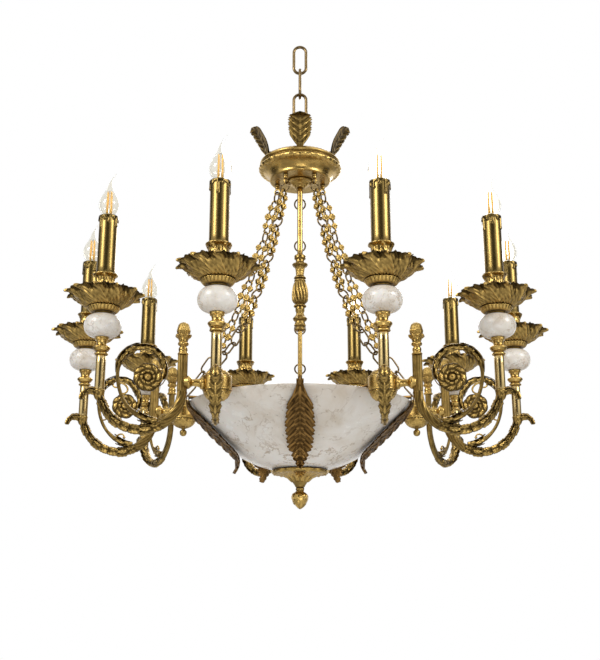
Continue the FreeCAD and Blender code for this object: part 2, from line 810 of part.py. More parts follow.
def fluted_cup():
    """Shallow cup on the ball, its side cut with upright flutes."""
    neck = fluted_cup_neck / 2
    wide = fluted_cup_width / 2
    cup = turned([(pipe_hole, ball_top), (neck - 2, ball_top), (neck, ball_top + 1.5),
                  (neck - 1, ball_top + 3, 0.6), (wide, fluted_top - 3, 2.5), (wide, fluted_top, 1),
                  (pipe_hole, fluted_top)])
    groove = Part.makeCylinder(1.1, fluted_cup_height, Vector(wide + 0.5, 0, ball_top + 5))
    grooves = [moved(groove, turn=360 * i / flute_count) for i in range(flute_count)]
    return cup.cut(Part.makeCompound(grooves))


def bobeche():
    """Drip dish of turned-out leaves, its rim cut into lobes."""
    wide = bobeche_width / 2
    top = fluted_top + bobeche_height
    dish = turned([(pipe_hole, fluted_top), (fluted_cup_width / 2 - 2, fluted_top),
                   (wide * 0.8, top - 9, 2.5), (wide, top - 1, -1.5), (wide - 1, top + 1.5, 0.6),
                   (wide * 0.8 - 2, top - 6.5, 1.5), (fluted_cup_width / 2 - 3, bobeche_floor, -2.5),
                   (pipe_hole, bobeche_floor)])
    notch_radius = wide * 0.13
    notch = Part.makeCylinder(notch_radius, 2 * bobeche_height, Vector(wide + 1, 0, fluted_top))
    notches = [moved(notch, turn=360 * i / bobeche_lobes) for i in range(bobeche_lobes)]
    return dish.cut(Part.makeCompound(notches))


def candle_cup():
    """Leafy cup that holds the candle sleeve."""
    wide = candle_cup_width / 2
    waist = wide * 0.72
    wall_inner = sleeve_width / 2 + SEAT_GAP
    return turned([(pipe_hole, bobeche_floor), (waist + 1, bobeche_floor), (waist + 3, bobeche_floor + 6, 1),
                   (waist, bobeche_floor + 14, -1), (waist + 1, candle_cup_top - 16, -0.6),
                   (wide, candle_cup_top - 3, -1.5), (wide, candle_cup_top, 1),
                   (wall_inner, candle_cup_top), (wall_inner, cup_floor), (pipe_hole, cup_floor)])


def candle_sleeve():
    """Brass candle sleeve, with a thicker lip that carries the wax drips at its top."""
    outer = sleeve_width / 2
    body = disc(outer, cup_floor, sleeve_top, outer - sleeve_wall)
    lip = disc(outer + 1.3, sleeve_top - 5, sleeve_top, outer - sleeve_wall)
    drips = []
    for turn, drop, width in ((10, 24, 2.0), (70, 14, 1.8), (125, 20, 2.2), (185, 12, 1.8),
                              (235, 26, 2.0), (300, 16, 2.2)):
        drip = disc(width, sleeve_top - drop, sleeve_top - 3)
        drips.append(moved(moved(drip, x=outer), turn=turn))
    core = Part.makeCylinder(outer - sleeve_wall / 2, sleeve_show, Vector(0, 0, cup_floor))
    drips = [drip.cut(core) for drip in drips]
    return fused([body, lip] + drips)


def lampholder():
    """Candle lampholder inside the sleeve, screwed on the pipe, with its socket at the top."""
    outer = holder_width / 2
    body = disc(outer, cup_floor, holder_top)
    socket = Part.makeCylinder(socket_width / 2, socket_depth, Vector(0, 0, holder_top - socket_depth))
    thread = Part.makeCylinder(pipe_hole, pipe_top - cup_floor + 1, Vector(0, 0, cup_floor))
    return body.cut(socket).cut(thread)


cap_bottom = holder_top - socket_depth + SEAT_GAP
cap_top = cap_bottom + cap_height
glass_top = sleeve_top + glass_height


def bulb_cap():
    """Screw cap with its centre contact."""
    radius = cap_width / 2
    return turned([(0, cap_bottom), (2.4, cap_bottom), (2.4, cap_bottom + 1), (radius - 2, cap_bottom + 3),
                   (radius, cap_bottom + 5), (radius, cap_top), (0, cap_top)])


def bulb_glass():
    """Blown flame-shaped envelope with a drawn tip that leans to one side."""
    low = cap_top

    def shell(inset):
        wide = glass_width / 2 - inset
        neck = cap_width / 2 - 0.5 - inset
        shoulder = glass_top - 18
        tip = 3.4 - inset
        return [(0, low + inset), (neck, low + inset), (neck, low + 4), (wide, low + 22, 2.2),
                (wide * 0.55, low + 45, 2.0), (tip, shoulder, -0.8), (0, shoulder)]

    rings = []
    for step in range(4):
        share = step / 3
        height = glass_top - 18 + 17.5 * share
        lean = tip_lean * share ** 1.6
        radius = 3.4 - 2.6 * share
        axis = Vector(tip_lean * share / 14, 0, 1)
        rings.append(Part.Wire(Part.Circle(Vector(lean, 0, height), axis, radius).toShape()))
    tip = Part.makeLoft(rings, True, False)
    return fused([turned(shell(0)), tip]).cut(turned(shell(glass_wall)))


save("stem_tubes", to_candles(stem_tube()))
save("stem_collars", to_candles(stem_collar()))
save("alabaster_balls", to_candles(alabaster_ball()))
save("fluted_cups", to_candles(fluted_cup()))
save("bobeches", to_candles(bobeche()))
save("candle_cups", to_candles(candle_cup()))
save("candle_sleeves", to_candles(candle_sleeve()))
save("lampholders", to_candles(lampholder()))
caps = to_candles(bulb_cap())
tips_to_right = [moved(bulb_glass(), x=candle_ring_radius * math.sin(math.radians(azimuth)),
                       y=-candle_ring_radius * math.cos(math.radians(azimuth)))
                 for azimuth in candle_azimuths]
for number in range(candle_count):
    save("bulb_cap_" + str(number + 1), [caps[number]])
    save("bulb_glass_" + str(number + 1), [tips_to_right[number]])
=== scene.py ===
import bpy
import math
import mathutils
import numpy as np
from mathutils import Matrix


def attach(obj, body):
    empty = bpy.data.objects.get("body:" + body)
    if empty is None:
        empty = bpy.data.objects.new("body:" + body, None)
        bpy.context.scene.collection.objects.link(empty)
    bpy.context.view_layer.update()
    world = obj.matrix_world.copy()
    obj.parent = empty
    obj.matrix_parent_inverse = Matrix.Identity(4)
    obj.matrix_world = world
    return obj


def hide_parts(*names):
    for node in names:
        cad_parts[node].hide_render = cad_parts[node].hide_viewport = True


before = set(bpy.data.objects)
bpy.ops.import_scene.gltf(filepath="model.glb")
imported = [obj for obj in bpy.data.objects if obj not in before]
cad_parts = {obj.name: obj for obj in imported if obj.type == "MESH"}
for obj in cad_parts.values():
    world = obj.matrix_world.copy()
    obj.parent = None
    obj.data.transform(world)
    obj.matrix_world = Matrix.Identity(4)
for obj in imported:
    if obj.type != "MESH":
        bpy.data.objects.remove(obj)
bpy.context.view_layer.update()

# Ten-light chandelier of antiqued cast brass round an alabaster bowl.
# MM turns the maker's millimetres into the frame's metres. Heights are written as on the part's
# drawing, from the middle of the alabaster balls, and HANG is the hanging point's height there.
MM = 0.001
HANG = 641.1


# ---- view: the camera looks up at the fixture from below and in front of it ----
# The distance, height and tilt are those that fit the ten candles of the photograph.
camera_data = bpy.data.cameras.new("camera")
camera_data.sensor_fit = "VERTICAL"
camera_data.sensor_height = 36.0
focal_pixels, picture_height = 986.5, 660
camera_data.lens = focal_pixels / picture_height * camera_data.sensor_height
camera_data.clip_end = 50.0
camera = bpy.data.objects.new("camera", camera_data)
camera.location = (0.0, -1753.3 * MM, (-427.2 - HANG) * MM)
camera.rotation_euler = (math.radians(90 + 15.436), 0.0, 0.0)
bpy.context.scene.collection.objects.link(camera)
bpy.context.scene.camera = camera
bpy.context.scene.view_settings.view_transform = "Standard"


# ---- studio: pale floor far below, white surroundings, soft lamps ----
# Three black cards that only reflections see give the metal its dark bands, as in a studio.
def linear(hex_colour):
    """sRGB hex to linear RGBA."""
    parts = [int(hex_colour[i:i + 2], 16) / 255 for i in (1, 3, 5)]
    return [p / 12.92 if p <= 0.04045 else ((p + 0.055) / 1.055) ** 2.4 for p in parts] + [1.0]


def add(tree, kind, settings=None, links=None):
    """Adds one shader node, sets its properties or sockets, and links other sockets into it."""
    node = tree.nodes.new(kind)
    for key, value in (settings or {}).items():
        if isinstance(key, str) and hasattr(node, key):
            setattr(node, key, value)
        else:
            node.inputs[key].default_value = value
    for key, source in (links or {}).items():
        tree.links.new(source, node.inputs[key])
    return node


def blank(name, **values):
    """A new material with its tree and shader; the values are shader sockets, _ for a space."""
    material = bpy.data.materials.new(name)
    material.use_nodes = True
    shader = material.node_tree.nodes["Principled BSDF"]
    for socket, value in values.items():
        shader.inputs[socket.replace("_", " ")].default_value = value
    return material, material.node_tree, shader


def studio():
    world = bpy.data.worlds.new("studio")
    bpy.context.scene.world = world
    world.use_nodes = True
    tree = world.node_tree
    tree.nodes.clear()
    path = add(tree, "ShaderNodeLightPath")
    seen = add(tree, "ShaderNodeMath", {"operation": "MAXIMUM"},
               {0: path.outputs["Is Camera Ray"], 1: path.outputs["Is Transmission Ray"]})
    seen = add(tree, "ShaderNodeMath", {"operation": "MAXIMUM"},
               {0: seen.outputs[0], 1: path.outputs["Is Glossy Ray"]})
    light = add(tree, "ShaderNodeBackground", {"Color": linear("#F2F4F8"), "Strength": 0.45})
    white = add(tree, "ShaderNodeBackground", {"Color": (1, 1, 1, 1), "Strength": 1.0})
    mix = add(tree, "ShaderNodeMixShader", None,
              {0: seen.outputs[0], 1: light.outputs[0], 2: white.outputs[0]})
    add(tree, "ShaderNodeOutputWorld", None, {"Surface": mix.outputs[0]})


studio()


def lamp(name, place, size, power, colour="#FFFFFF"):
    """Square soft box aimed at the middle of the fixture."""
    data = bpy.data.lights.new(name, "AREA")
    data.shape = "SQUARE"
    data.size = size
    data.energy = power
    data.color = linear(colour)[:3]
    box = bpy.data.objects.new(name, data)
    middle = np.array([0.0, 0.0, -0.55])
    box.location = place
    aim = middle - np.array(place)
    box.rotation_euler = (math.atan2(math.hypot(aim[0], aim[1]), -aim[2]), 0,
                          math.atan2(aim[0], -aim[1]) + math.pi)
    bpy.context.scene.collection.objects.link(box)


lamp("key_left", (-2.2, -2.0, 0.9), 1.1, 46)
lamp("key_right", (2.4, -1.6, 0.7), 1.1, 38)
lamp("rim_back", (0.4, 2.6, 0.9), 1.4, 34)
lamp("low_front", (0.3, -2.6, -1.7), 1.2, 14)

floor_mesh = bpy.data.meshes.new("floor")
reach = 6.0
floor_height = -2.4
floor_mesh.from_pydata([(-reach, -reach, floor_height), (reach, -reach, floor_height),
                        (reach, reach, floor_height), (-reach, reach, floor_height)], [], [(0, 1, 2, 3)])
floor = bpy.data.objects.new("floor", floor_mesh)
bpy.context.scene.collection.objects.link(floor)
floor_mesh.materials.append(blank("pale_floor", Base_Color=linear("#E9E8E6"), Roughness=0.8)[0])


def black_card(name, place, width, height, turn):
    """Black studio card that only shows in reflections and gives the metal its dark bands."""
    mesh = bpy.data.meshes.new(name)
    mesh.from_pydata([(-width / 2, 0, -height / 2), (width / 2, 0, -height / 2), (width / 2, 0, height / 2),
                      (-width / 2, 0, height / 2)], [], [(0, 1, 2, 3)])
    card = bpy.data.objects.new(name, mesh)
    card.location = place
    card.rotation_euler = (0, 0, math.radians(turn))
    mesh.materials.append(blank(name, Base_Color=linear("#2A2722"), Roughness=0.9)[0])
    for ray in ("camera", "diffuse", "transmission", "shadow"):
        setattr(card, "visible_" + ray, False)
    bpy.context.scene.collection.objects.link(card)


black_card("card_front", (0.0, -3.4, -0.9), 3.0, 5.5, 0)
black_card("card_left", (-3.4, 0.9, -0.6), 2.4, 4.5, 75)
black_card("card_right", (3.4, 0.9, -0.6), 2.4, 4.5, -75)


# ---- ceiling chain: oblong links of drawn brass wire, butt-joined and toned bronze ----
# The wire is smooth and its tone uneven, darker where the links rub and hold polish.
def build(name, surfaces, material):
    """One mesh of grids of points in millimetres: (rows x columns x 3, relief, joined, ring).

    relief, 0 to 1, tells the patina how high each point stands. joined closes the columns
    round a section, and ring closes the rows round a loop."""
    points, reliefs, faces, start = [], [], [], 0
    for grid, relief, joined, ring in surfaces:
        rows, columns = grid.shape[:2]
        points.append(grid.reshape(-1, 3))
        reliefs.append(np.broadcast_to(relief, (rows, columns)).reshape(-1))
        row_ends = np.arange(rows if ring else rows - 1)
        column_ends = np.arange(columns if joined else columns - 1)
        r, c = np.meshgrid(row_ends, column_ends, indexing="ij")
        r2, c2 = (r + 1) % rows, (c + 1) % columns
        quads = np.stack([r * columns + c, r * columns + c2,
                          r2 * columns + c2, r2 * columns + c], -1).reshape(-1, 4)
        a, b, d = (points[-1][quads[:, k]] - points[-1].mean(0) for k in (0, 1, 3))
        if np.einsum("ij,ij->", a, np.cross(b, d)) < 0:
            quads = quads[:, ::-1]
        faces.append(start + quads)
        start += rows * columns
    points, faces = np.concatenate(points), np.concatenate(faces)
    mesh = bpy.data.meshes.new(name)
    mesh.vertices.add(len(points))
    mesh.vertices.foreach_set("co", (points * MM).astype(np.float32).ravel())
    mesh.loops.add(faces.size)
    mesh.loops.foreach_set("vertex_index", faces.astype(np.int32).ravel())
    mesh.polygons.add(len(faces))
    mesh.polygons.foreach_set("loop_start", np.arange(0, faces.size, 4, dtype=np.int32))
    mesh.polygons.foreach_set("use_smooth", np.ones(len(faces), bool))
    mesh.attributes.new("relief", "FLOAT", "POINT").data.foreach_set(
        "value", np.clip(np.concatenate(reliefs), 0, 1).astype(np.float32))
    mesh.materials.append(material)
    mesh.update(calc_edges=True)
    mesh.validate()
    return mesh


def put(name, mesh, body, nodes, slot, turn=0.0, x=0.0, y=0.0, z=0.0, spin=0.0, lean=0.0):
    """One object of a mesh: spun about its own Z, leaned about Y, turned about Z, all in degrees,
    then shifted in drawing millimetres."""
    piece = bpy.data.objects.new(name, mesh)
    turned, leaned, spun = (mathutils.Matrix.Rotation(math.radians(degrees), 3, axis)
                            for degrees, axis in ((turn, "Z"), (lean, "Y"), (spin, "Z")))
    piece.rotation_euler = (turned @ (leaned @ spun)).to_euler()
    piece.location = (x * MM, y * MM, (z - HANG) * MM)
    bpy.context.scene.collection.objects.link(piece)
    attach(piece, body)
    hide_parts(*nodes)
    return piece


def fixed(name, mesh, node, slot="antique_brass", **place):
    """A piece of the fixture's own body in the place of one CAD node."""
    put(name, mesh, "fixture", [node], slot, **place)


def cast_brass(name, high, low, roughness=0.3, patina_and_shade=1.0, grain_mm=1.2, bump_mm=0.12):
    """Brass: metal colour from the recess tone to the worn tone, by relief, painted shade in corners and between
    parts, and stains.
    """
    material, tree, shader = blank(name, Metallic=1.0)
    where = add(tree, "ShaderNodeNewGeometry")
    stain = add(tree, "ShaderNodeTexNoise", {"Scale": 1 / (14 * MM), "Detail": 4.0, "Roughness": 0.6},
                {"Vector": where.outputs["Position"]})
    grain = add(tree, "ShaderNodeTexNoise", {"Scale": 1 / (grain_mm * MM), "Detail": 3.0},
                {"Vector": where.outputs["Position"]})
    height = add(tree, "ShaderNodeAttribute", {"attribute_name": "relief"})
    # Painted shade: an ambient-occlusion node darkens the colour in corners, recesses and between parts, where shade
    # falls.
    occlusion_shade = add(tree, "ShaderNodeAmbientOcclusion", {"samples": 6, "Distance": 9 * MM})
    painted_shade_factor = add(tree, "ShaderNodeMapRange", {"From Min": 0.3, "From Max": 0.85,
                                                "To Min": 1.0 - 0.8 * patina_and_shade, "To Max": 1.0},
                   {"Value": occlusion_shade.outputs["AO"]})
    raised = add(tree, "ShaderNodeMapRange", {"From Min": 0.1, "From Max": 0.8,
                                              "To Min": 1.0 - 0.85 * patina_and_shade, "To Max": 1.0},
                 {"Value": height.outputs["Fac"]})
    blotch = add(tree, "ShaderNodeMapRange", {"From Min": 0.38, "From Max": 0.6,
                                              "To Min": 1.0 - 0.35 * patina_and_shade, "To Max": 1.0},
                 {"Value": stain.outputs["Fac"]})
    # Worn share of the colour: relief patina and stains times the painted shade from occlusion; the low colour
    # serves both patina and painted shade.
    wear_and_painted_shade = add(tree, "ShaderNodeMath", {"operation": "MULTIPLY"},
                 {0: painted_shade_factor.outputs[0], 1: raised.outputs[0]})
    wear_and_painted_shade = add(tree, "ShaderNodeMath", {"operation": "MULTIPLY"},
                 {0: wear_and_painted_shade.outputs[0], 1: blotch.outputs[0]})
    tone = add(tree, "ShaderNodeMix", {"data_type": "RGBA"}, {0: wear_and_painted_shade.outputs[0]})
    tone.inputs[6].default_value = linear(low)
    tone.inputs[7].default_value = linear(high)
    tree.links.new(tone.outputs[2], shader.inputs["Base Color"])
    dull = add(tree, "ShaderNodeMapRange", {"From Min": 0.0, "From Max": 1.0,
                                            "To Min": roughness + 0.22, "To Max": roughness},
               {"Value": wear_and_painted_shade.outputs[0]})
    tree.links.new(dull.outputs[0], shader.inputs["Roughness"])
    rough_cast = add(tree, "ShaderNodeBump", {"Strength": 0.6, "Distance": bump_mm * MM},
                     {"Height": grain.outputs["Fac"]})
    tree.links.new(rough_cast.outputs[0], shader.inputs["Normal"])
    return material


def satin(name, colour, dark, roughness):
    """Satin lacquered brass: even colour with soft tarnish clouds and fine marks in its gloss."""
    material, tree, shader = blank(name, Metallic=1.0)
    where = add(tree, "ShaderNodeNewGeometry")
    height = add(tree, "ShaderNodeAttribute", {"attribute_name": "relief"})
    cloud = add(tree, "ShaderNodeTexNoise", {"Scale": 1 / (35 * MM), "Detail": 4.0},
                {"Vector": where.outputs["Position"]})
    marks = add(tree, "ShaderNodeTexNoise", {"Scale": 1 / (1.5 * MM), "Detail": 4.0},
                {"Vector": where.outputs["Position"]})
    even = add(tree, "ShaderNodeMapRange", {"From Min": 0.3, "From Max": 0.62, "To Min": 0.8, "To Max": 1.0},
               {"Value": cloud.outputs["Fac"]})
    share = add(tree, "ShaderNodeMath", {"operation": "MULTIPLY"},
                {0: even.outputs[0], 1: height.outputs["Fac"]})
    tone = add(tree, "ShaderNodeMix", {"data_type": "RGBA"}, {0: share.outputs[0]})
    tone.inputs[6].default_value = linear(dark)
    tone.inputs[7].default_value = linear(colour)
    tree.links.new(tone.outputs[2], shader.inputs["Base Color"])
    gloss = add(tree, "ShaderNodeMapRange", {"To Min": roughness - 0.05, "To Max": roughness + 0.1},
                {"Value": marks.outputs["Fac"]})
    tree.links.new(gloss.outputs[0], shader.inputs["Roughness"])
    return material


chain_brass = satin("drawn_bronzed_brass", "#86714E", "#2A1C0C", 0.2)


def oblong(length, width, wire, steps=14):
    """Centre line of an oblong link in the XZ plane."""
    bend = (width - wire) / 2
    straight = length / 2 - wire / 2 - bend
    turn = np.linspace(0, math.pi, steps)
    top = np.stack([bend * np.cos(turn), 0 * turn, straight + bend * np.sin(turn)], -1)
    side = np.linspace(straight, -straight, 10)[1:-1]
    left = np.stack([np.full(8, -bend), 0 * side, side], -1)
    return np.concatenate([top, left, -top, -left])


def tube(path, radii, closed=False, sides=14, bumps=None):
    """Round bar along a path in one plane with normal Y. bumps(along, around) adds millimetres."""
    path = np.asarray(path, float)
    count = len(path)
    ahead = np.roll(path, -1, 0) - np.roll(path, 1, 0)
    if not closed:
        ahead[0], ahead[-1] = path[1] - path[0], path[-1] - path[-2]
    ahead /= np.linalg.norm(ahead, axis=1)[:, None]
    across = np.stack([-ahead[:, 2], 0 * ahead[:, 0], ahead[:, 0]], -1)
    angle = np.linspace(0, 2 * math.pi, sides, endpoint=False)
    radii = np.broadcast_to(np.asarray(radii, float).reshape(-1, 1) if np.ndim(radii) < 2 else radii,
                            (count, 1 if np.ndim(radii) < 2 else radii.shape[1]))
    deep, thick = radii[:, :1], radii[:, -1:]
    extra = 0.0
    if bumps is not None:
        along = np.linspace(0, 1, count, endpoint=not closed)[:, None]
        extra = bumps(along, angle[None, :])
    grid = (path[:, None] + across[:, None] * ((deep + extra) * np.cos(angle))[..., None]
            + np.array([0, 1.0, 0]) * ((thick + extra) * np.sin(angle))[..., None])
    return grid


def capped(grid):
    """Closes an open tube's two ends on their middles."""
    first = np.broadcast_to(grid[:1].mean(1, keepdims=True), grid[:1].shape)
    last = np.broadcast_to(grid[-1:].mean(1, keepdims=True), grid[-1:].shape)
    return np.concatenate([first, grid, last])


LINK_LENGTH, LINK_WIDTH, LINK_WIRE = 65.0, 30.0, 6.0
link_pitch = LINK_LENGTH - 2 * LINK_WIRE - 0.3
LOOP_TOP = 489.0
lowest_link = LOOP_TOP - 2 * LINK_WIRE - 0.3 + LINK_LENGTH / 2
link_mesh = build("chain_link", [(tube(oblong(LINK_LENGTH, LINK_WIDTH, LINK_WIRE), LINK_WIRE / 2,
                                       closed=True, sides=20), 0.9, True, True)], chain_brass)
for number, (body, lift, turn) in enumerate((("top_link", 2, 0), ("middle_link", 1, 90), ("lower_link", 0, 0))):
    put("chain_link_" + str(number + 1), link_mesh, body, ["ceiling_link_" + str(number + 1)],
        "chain_brass", turn=turn, z=lowest_link + lift * link_pitch)


# ---- crown: sand-cast dish with a corded rim, five upright acanthus leaves and a closed loop ----
# The castings are chased, lacquered over a brown patina and worn bright on their ridges; corners get painted shade.
antique_brass = cast_brass("antique_cast_brass", "#D8B468", "#1E1103", 0.22)


def profile(points, step=1.2):
    """Dense points along (radius, height) corners; a third number bulges the run to its right."""
    dense = [np.array([points[0][:2]], float)]
    for before, after in zip(points, points[1:]):
        start, run = np.array(before[:2], float), np.subtract(after[:2], before[:2])
        length = math.hypot(*run)
        edge = min(0.35 / length, 0.3)
        t = np.linspace(edge, 1 - edge, max(2, int(length / step) + 1))[:, None]
        side = np.array([run[1], -run[0]]) / length
        dense.append(start + run * t + side * 4 * t * (1 - t) * (after[2] if len(after) == 3 else 0))
    dense.append(np.array([points[-1][:2]], float))
    return np.concatenate(dense)


ROW_SPACING = 1.5  # rows of a turned surface, as a multiple of its step


def lathe(points, sides=72, bumps=None, step=1.2, tone=0.7, ring=False):
    """Turned surface. bumps(angle, radius, height) is its chased relief in millimetres."""
    line = profile(points, ROW_SPACING * step)[1 if ring else 0:]
    run = np.gradient(line, axis=0)
    run /= np.maximum(np.linalg.norm(run, axis=1), 1e-9)[:, None]
    angle = np.linspace(0, 2 * math.pi, sides, endpoint=False)[None, :]
    radius, height = line[:, :1], line[:, 1:]
    lift = bumps(angle, radius, height) if bumps else np.zeros((len(line), sides))
    lift = np.where(radius > 0.01, lift, 0)
    out = radius + run[:, 1:] * lift
    up = height - run[:, :1] * lift + 0 * angle
    return np.stack([out * np.cos(angle), out * np.sin(angle), up], -1), tone + 0.3 * lift, True, ring


def band(low, high, value):
    """1 between two heights and 0 outside them, with soft ends."""
    share = (value - low) / (high - low)
    return np.clip(share * 8, 0, 1) * np.clip((1 - share) * 8, 0, 1)


def leafage(u, v, lobes=4):
    """Height, 0 to 1, of a lobed leaf: u from -1 to 1 across it and v from 0 to 1 up it."""
    across = np.abs(u)
    lobe = np.abs(np.sin(math.pi * lobes * (v - 0.3 * across)))
    edge = np.sqrt(np.clip(np.sin(math.pi * (0.15 + 0.85 * np.clip(v, 0, 1))), 0, 1))
    inside = np.clip((edge * (0.72 + 0.28 * lobe) - across) / 0.14, 0, 1) * (v > 0) * (v < 1)
    rib = np.exp(-(across / 0.09) ** 2)
    return inside * (0.45 + 0.3 * lobe + 0.3 * rib - 0.2 * across)


def leaves_round(angle, value, low, high, count, lobes=4, shift=0.0):
    """A ring of leaves that stand side by side from the height low to the height high."""
    place = angle * count / (2 * math.pi) + shift
    return leafage(2 * (place - np.floor(place)) - 1, (value - low) / (high - low), lobes)


def dish_relief(angle, radius, height):
    outside = radius > np.interp(height, [352, 373, 392], [52, 73, 71])
    scallops = 0.7 * np.abs(np.sin(30 * angle)) ** 0.5 * np.interp(height, [390, 392, 397], [0, 0.8, 1])
    tendrils = 0.5 * np.cos(45 * angle + 1.4 * np.sin(0.9 * height)) * np.cos(1.7 * (height - 372))
    flowers = 1.1 * leaves_round(angle, height, 368, 379.5, 36, 2) + 0.5 * tendrils * band(367, 380, height)
    lines = -0.6 * (np.exp(-((height - 366.3) / 0.5) ** 2) + np.exp(-((height - 381.2) / 0.5) ** 2))
    return np.where(outside, scallops + flowers + lines, 0)


crown_surfaces = [
    (tube(oblong(62, LINK_WIDTH, LINK_WIRE), LINK_WIRE / 2, closed=True, sides=20)[..., [1, 0, 2]]
     + np.array([0, 0, LOOP_TOP - 31]), 0.8, True, True),
    lathe([(0, 363), (7, 363), (8.5, 364.5), (8.5, 368), (7.6, 370), (7.6, 380), (8.7, 383, 0.6),
           (8.7, 387, 0.8), (6, 392, -1), (4.5, 428, 1.2), (6.4, 433, 1), (0, 434)], 40)]
fixed("crown_loop_piece", build("crown_loop_mesh", crown_surfaces, antique_brass), "crown_loop", "chain_brass")
dish_profile = [(4.2, 352), (54, 352), (58, 357, 2.4), (76, 373, -3), (77, 381, 2), (73, 384), (73, 392, 4),
                (68, 392, 2), (68, 384), (72, 377), (55, 355, 3), (4.2, 355), (4.2, 352)]
fixed("crown_dish_piece", build("crown_dish_mesh", [lathe(dish_profile, 540, dish_relief, 0.8, 0.7, ring=True)],
                                antique_brass), "crown_dish")


def track(x, z, heading, runs):
    """Dense path in the XZ plane: ("on", length) goes straight, (radius, turn) bends by degrees."""
    points = [(x, z)]
    for first, second in runs:
        if first == "on":
            for _ in range(max(1, int(second / 1.5))):
                length = second / max(1, int(second / 1.5))
                x += length * math.cos(math.radians(heading))
                z += length * math.sin(math.radians(heading))
                points.append((x, z))
            continue
        steps = max(4, int(first * abs(math.radians(second)) / 1.5))
        for _ in range(steps):
            heading += second / steps / 2
            chord = 2 * first * math.sin(math.radians(abs(second) / steps / 2))
            x += chord * math.cos(math.radians(heading))
            z += chord * math.sin(math.radians(heading))
            heading += second / steps / 2
            points.append((x, z))
    return np.array(points)


def leaf(path, half_width, thickness, lobes, depth=0.3, sweep=0.1, cup=0.1, rows=160, columns=25,
         envelope=None, teeth=3, lift=1.0, side=1):
    """Cast acanthus leaf along a path in the XZ plane, its face on the path's left if side is 1."""
    length = np.concatenate([[0], np.cumsum(np.linalg.norm(np.diff(path, axis=0), axis=1))])
    v = np.linspace(0, 1, rows)[:, None]
    u = np.sin(np.linspace(-0.5, 0.5, columns) * math.pi)[None, :]
    across = np.abs(u)
    lobe = np.abs(np.sin(math.pi * lobes * v)) ** 0.6
    tooth = np.abs(np.sin(math.pi * lobes * teeth * v)) ** 0.8
    shape = envelope(v) if envelope else np.sqrt(np.clip(np.sin(math.pi * (0.2 + 0.8 * v)), 0, 1))
    width = half_width * shape * (1 - depth + depth * lobe - 0.24 * (1 - tooth) * across ** 2)
    along = np.clip(v + sweep * across ** 1.4 * (1 - v) ** 0.5, 0, 1) * length[-1]
    x, z = np.interp(along, length, path[:, 0]), np.interp(along, length, path[:, 1])
    slope = np.gradient(path, axis=0)
    slope /= np.linalg.norm(slope, axis=1)[:, None]
    tx, tz = np.interp(along, length, slope[:, 0]), np.interp(along, length, slope[:, 1])
    rib = np.exp(-(across / 0.1) ** 2) * np.clip(1.4 - v, 0, 1)
    veins = np.cos(2 * math.pi * lobes * teeth * v) * across * (1.3 - across)
    relief = 1.0 * rib + 0.6 * lobe * np.sin(math.pi * np.clip(across, 0, 1)) ** 0.5 + 0.6 * veins
    rise = side * (lift * relief * (0.35 + 0.65 * shape) + cup * width * across ** 2)
    face = np.stack([x - tz * rise, u * width, z + tx * rise], -1)
    back_rise = rise - side * (thickness * (1 - 0.75 * across ** 3) + 0.4 * lift * relief)
    back = np.stack([x - tz * back_rise, u * width, z + tx * back_rise], -1)[:, ::-1]
    tone = np.clip(0.62 * relief - 0.35 * (lobe < 0.45) + 0.35 * across - 0.12, 0, 1)
    return np.concatenate([face, back], 1), np.concatenate([tone, 0.45 + 0 * tone], 1), True, False


def crown_envelope(v):
    return np.interp(v, [0, 0.1, 0.17, 0.3, 0.6, 0.8, 0.93, 1.0], [0.4, 0.4, 0.85, 0.95, 1.0, 0.86, 0.55, 0.15])


crown_leaf_path = track(65.6, 380, 90, [("on", 12), (70, -32), ("on", 17), (11, -75)])
crown_leaf_mesh = build("crown_leaf_mesh",
                        [leaf(crown_leaf_path, 24, 3, 7, 0.26, 0.3, 0.14, 190, 37, crown_envelope, 2, 1.5, -1)],
                        antique_brass)
for number in range(5):
    fixed("crown_leaf_" + str(number + 1), crown_leaf_mesh, "crown_leaves", turn=72 * number - 90)

boss_profile = [(4.2, 339), (9, 339), (11, 341, 0.6), (14, 343, -0.6), (24, 348, -2), (26, 350, 0.8), (26, 352),
                (4.2, 352), (4.2, 339)]
fixed("crown_boss_piece", build("crown_boss_mesh", [lathe(boss_profile, 96, None, 0.8, ring=True)],
                                antique_brass),
      "crown_boss")


def torus(radius, wire, sides=36, round_sides=14):
    """Ring of wire in the XZ plane."""
    turn = np.linspace(0, 2 * math.pi, sides, endpoint=False)
    path = np.stack([radius * np.cos(turn), 0 * turn, radius * np.sin(turn)], -1)
    return tube(path, wire / 2, closed=True, sides=round_sides)


peg_mesh = build("chain_peg_mesh", [
    lathe([(0, 343), (3.2, 343), (4.5, 344.5, 0.5), (4.5, 347), (3.6, 348), (4.5, 349.5), (4.5, 352), (0, 352)],
          32),
    (torus(5, 3) + np.array([0, 0, 337.25]), 0.8, True, True)], antique_brass)


def at_azimuth(azimuth, radius):
    """Place and turn of a piece on a ring, its +X side outwards, azimuth from the front towards +X."""
    along = math.radians(azimuth)
    return {"x": radius * math.sin(along), "y": -radius * math.cos(along), "turn": azimuth - 90}


PEG_RING, HUB_RING, CANDLE_RING = 46.0, 229.0, 391.0
HUB_AZIMUTHS = [36 + 72 * i for i in range(5)]
for number, azimuth in enumerate(HUB_AZIMUTHS):
    fixed("chain_peg_" + str(number + 1), peg_mesh, "chain_pegs", **at_azimuth(azimuth, PEG_RING))


